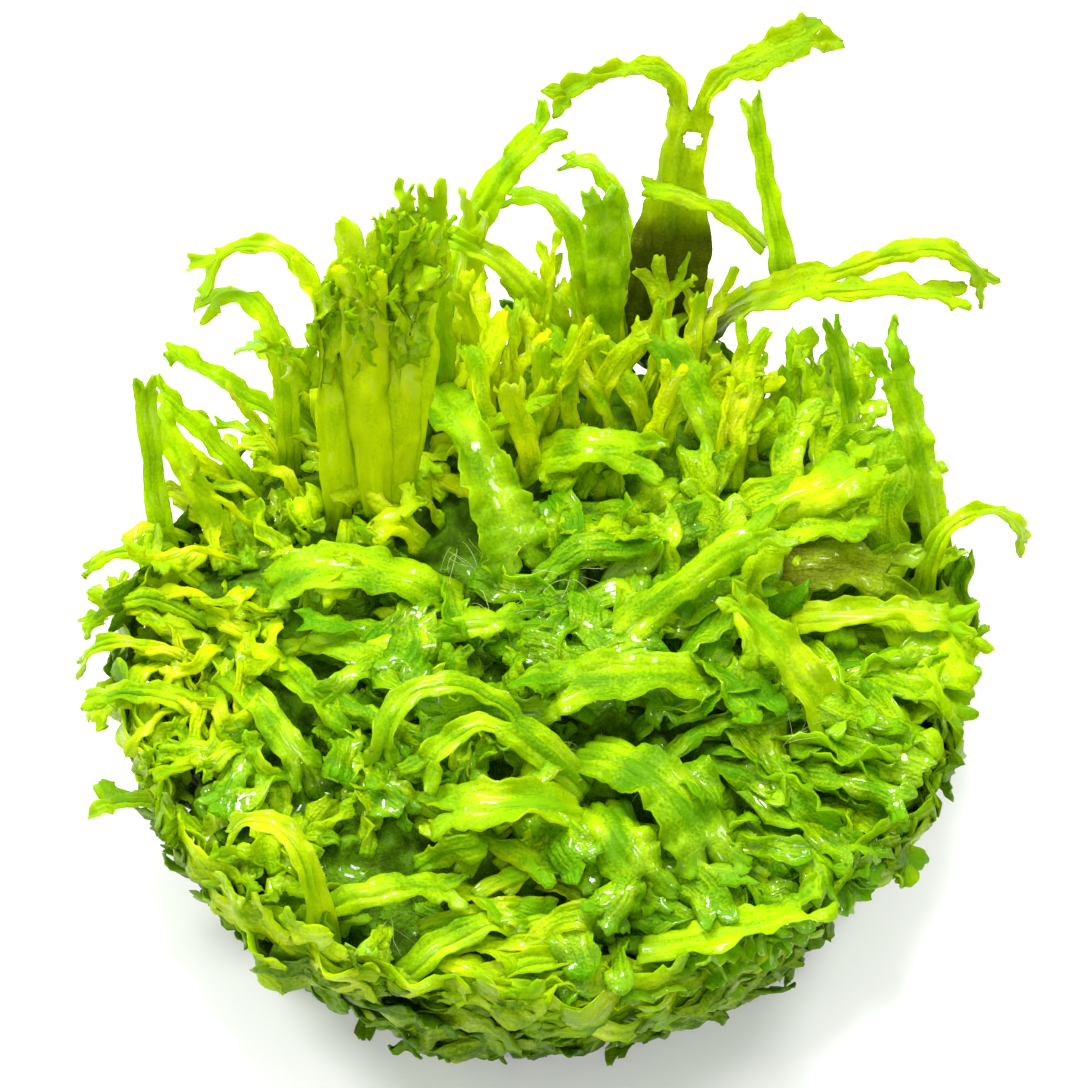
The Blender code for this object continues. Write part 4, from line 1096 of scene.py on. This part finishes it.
def hair_material():
    material = start_material("root_hair")
    along, tone = mark("along"), mark("tone")
    colour = tinted((0.62, 0.68, 0.22), (0.86, 0.90, 0.66), along * 0.6 + tone * 0.4)
    skin = Shade.node("BsdfPrincipled", None, {"Base Color": colour, "Roughness": 0.4})
    glow = Shade.node("BsdfTranslucent", None, {"Color": (0.85, 0.9, 0.6)})
    end_material(Shade.node("MixShader", None, {0: 0.4, 1: skin, 2: glow}))
    return material


joined_piece("root_hairs", root_hairs(), hair_material(), "pale_thallus")

# The studio: a plain white table that the clump stands on, lit by soft round lamps above, behind and
# beside it, and seen from the front at 52 degrees above the table, as in the photograph.
FLOOR_SIZE = 3.0
# Rows of name, place, size and power.
LAMPS = (
    ("lamp_left", (-0.27, 0.13, 0.27), 0.10, 0.95),
    ("lamp_right", (0.38, 0.22, 0.47), 0.16, 1.65),
    ("lamp_back", (-0.08, 0.21, 0.34), 0.12, 1.65),
    ("lamp_top", (0.03, 0.06, 0.62), 0.14, 1.6),
    ("lamp_front", (-0.10, -0.50, 0.40), 0.16, 0.9),
)
LAMP_AIM = (0.0, 0.0, 0.01)
ROOM_LIGHT = 0.58
TABLE_GLOW = 0.18
PHOTO_WIDTH = 1080
PIXEL = 0.0875
DISTANCE = 420.0
ELEVATION = math.radians(52)
TARGET = (-0.7, 16.27, 12.71)
SENSOR = 36.0


def floor():
    mesh = bpy.data.meshes.new("floor")
    half = FLOOR_SIZE / 2
    mesh.from_pydata([(-half, -half, 0), (half, -half, 0), (half, half, 0), (-half, half, 0)], [], [(0, 1, 2, 3)])
    material = start_material("white_table")
    cloud = noise(Shade.node("TexCoord", output="Object"), 3.0, 2.0, 0.5)
    colour = tinted((0.83, 0.83, 0.84), (0.87, 0.87, 0.88), cloud)
    end_material(Shade.node("BsdfPrincipled", None, {
        "Base Color": colour, "Roughness": 0.6, "Specular IOR Level": 0.2, "Emission Color": colour,
        "Emission Strength": TABLE_GLOW}))
    mesh.materials.append(material)
    placed("floor", mesh)


def light():
    for name, place, size, power in LAMPS:
        lamp = bpy.data.lights.new(name, "AREA")
        lamp.shape, lamp.size, lamp.energy = "DISK", size, power
        made = placed(name, lamp)
        made.location = place
        made.rotation_euler = (Vector(LAMP_AIM) - Vector(place)).to_track_quat("-Z", "Y").to_euler()
    world = bpy.data.worlds.new("studio")
    world.use_nodes = True
    back = world.node_tree.nodes["Background"]
    back.inputs["Color"].default_value = (1.0, 1.0, 1.0, 1.0)
    back.inputs["Strength"].default_value = ROOM_LIGHT
    bpy.context.scene.world = world
    bpy.context.scene.view_settings.view_transform = "Standard"


def camera():
    lens = bpy.data.cameras.new("camera")
    lens.sensor_fit = "HORIZONTAL"
    lens.sensor_width = SENSOR
    lens.lens = SENSOR * DISTANCE / (PHOTO_WIDTH * PIXEL)
    lens.clip_start = 0.01
    eye = placed("camera", lens)
    target = Vector(TARGET) * MM
    away = Vector((0.0, -math.cos(ELEVATION), math.sin(ELEVATION))) * DISTANCE * MM
    eye.location = target + away
    eye.rotation_euler = (math.pi / 2 - ELEVATION, 0.0, 0.0)
    bpy.context.scene.camera = eye


floor()
light()
camera()
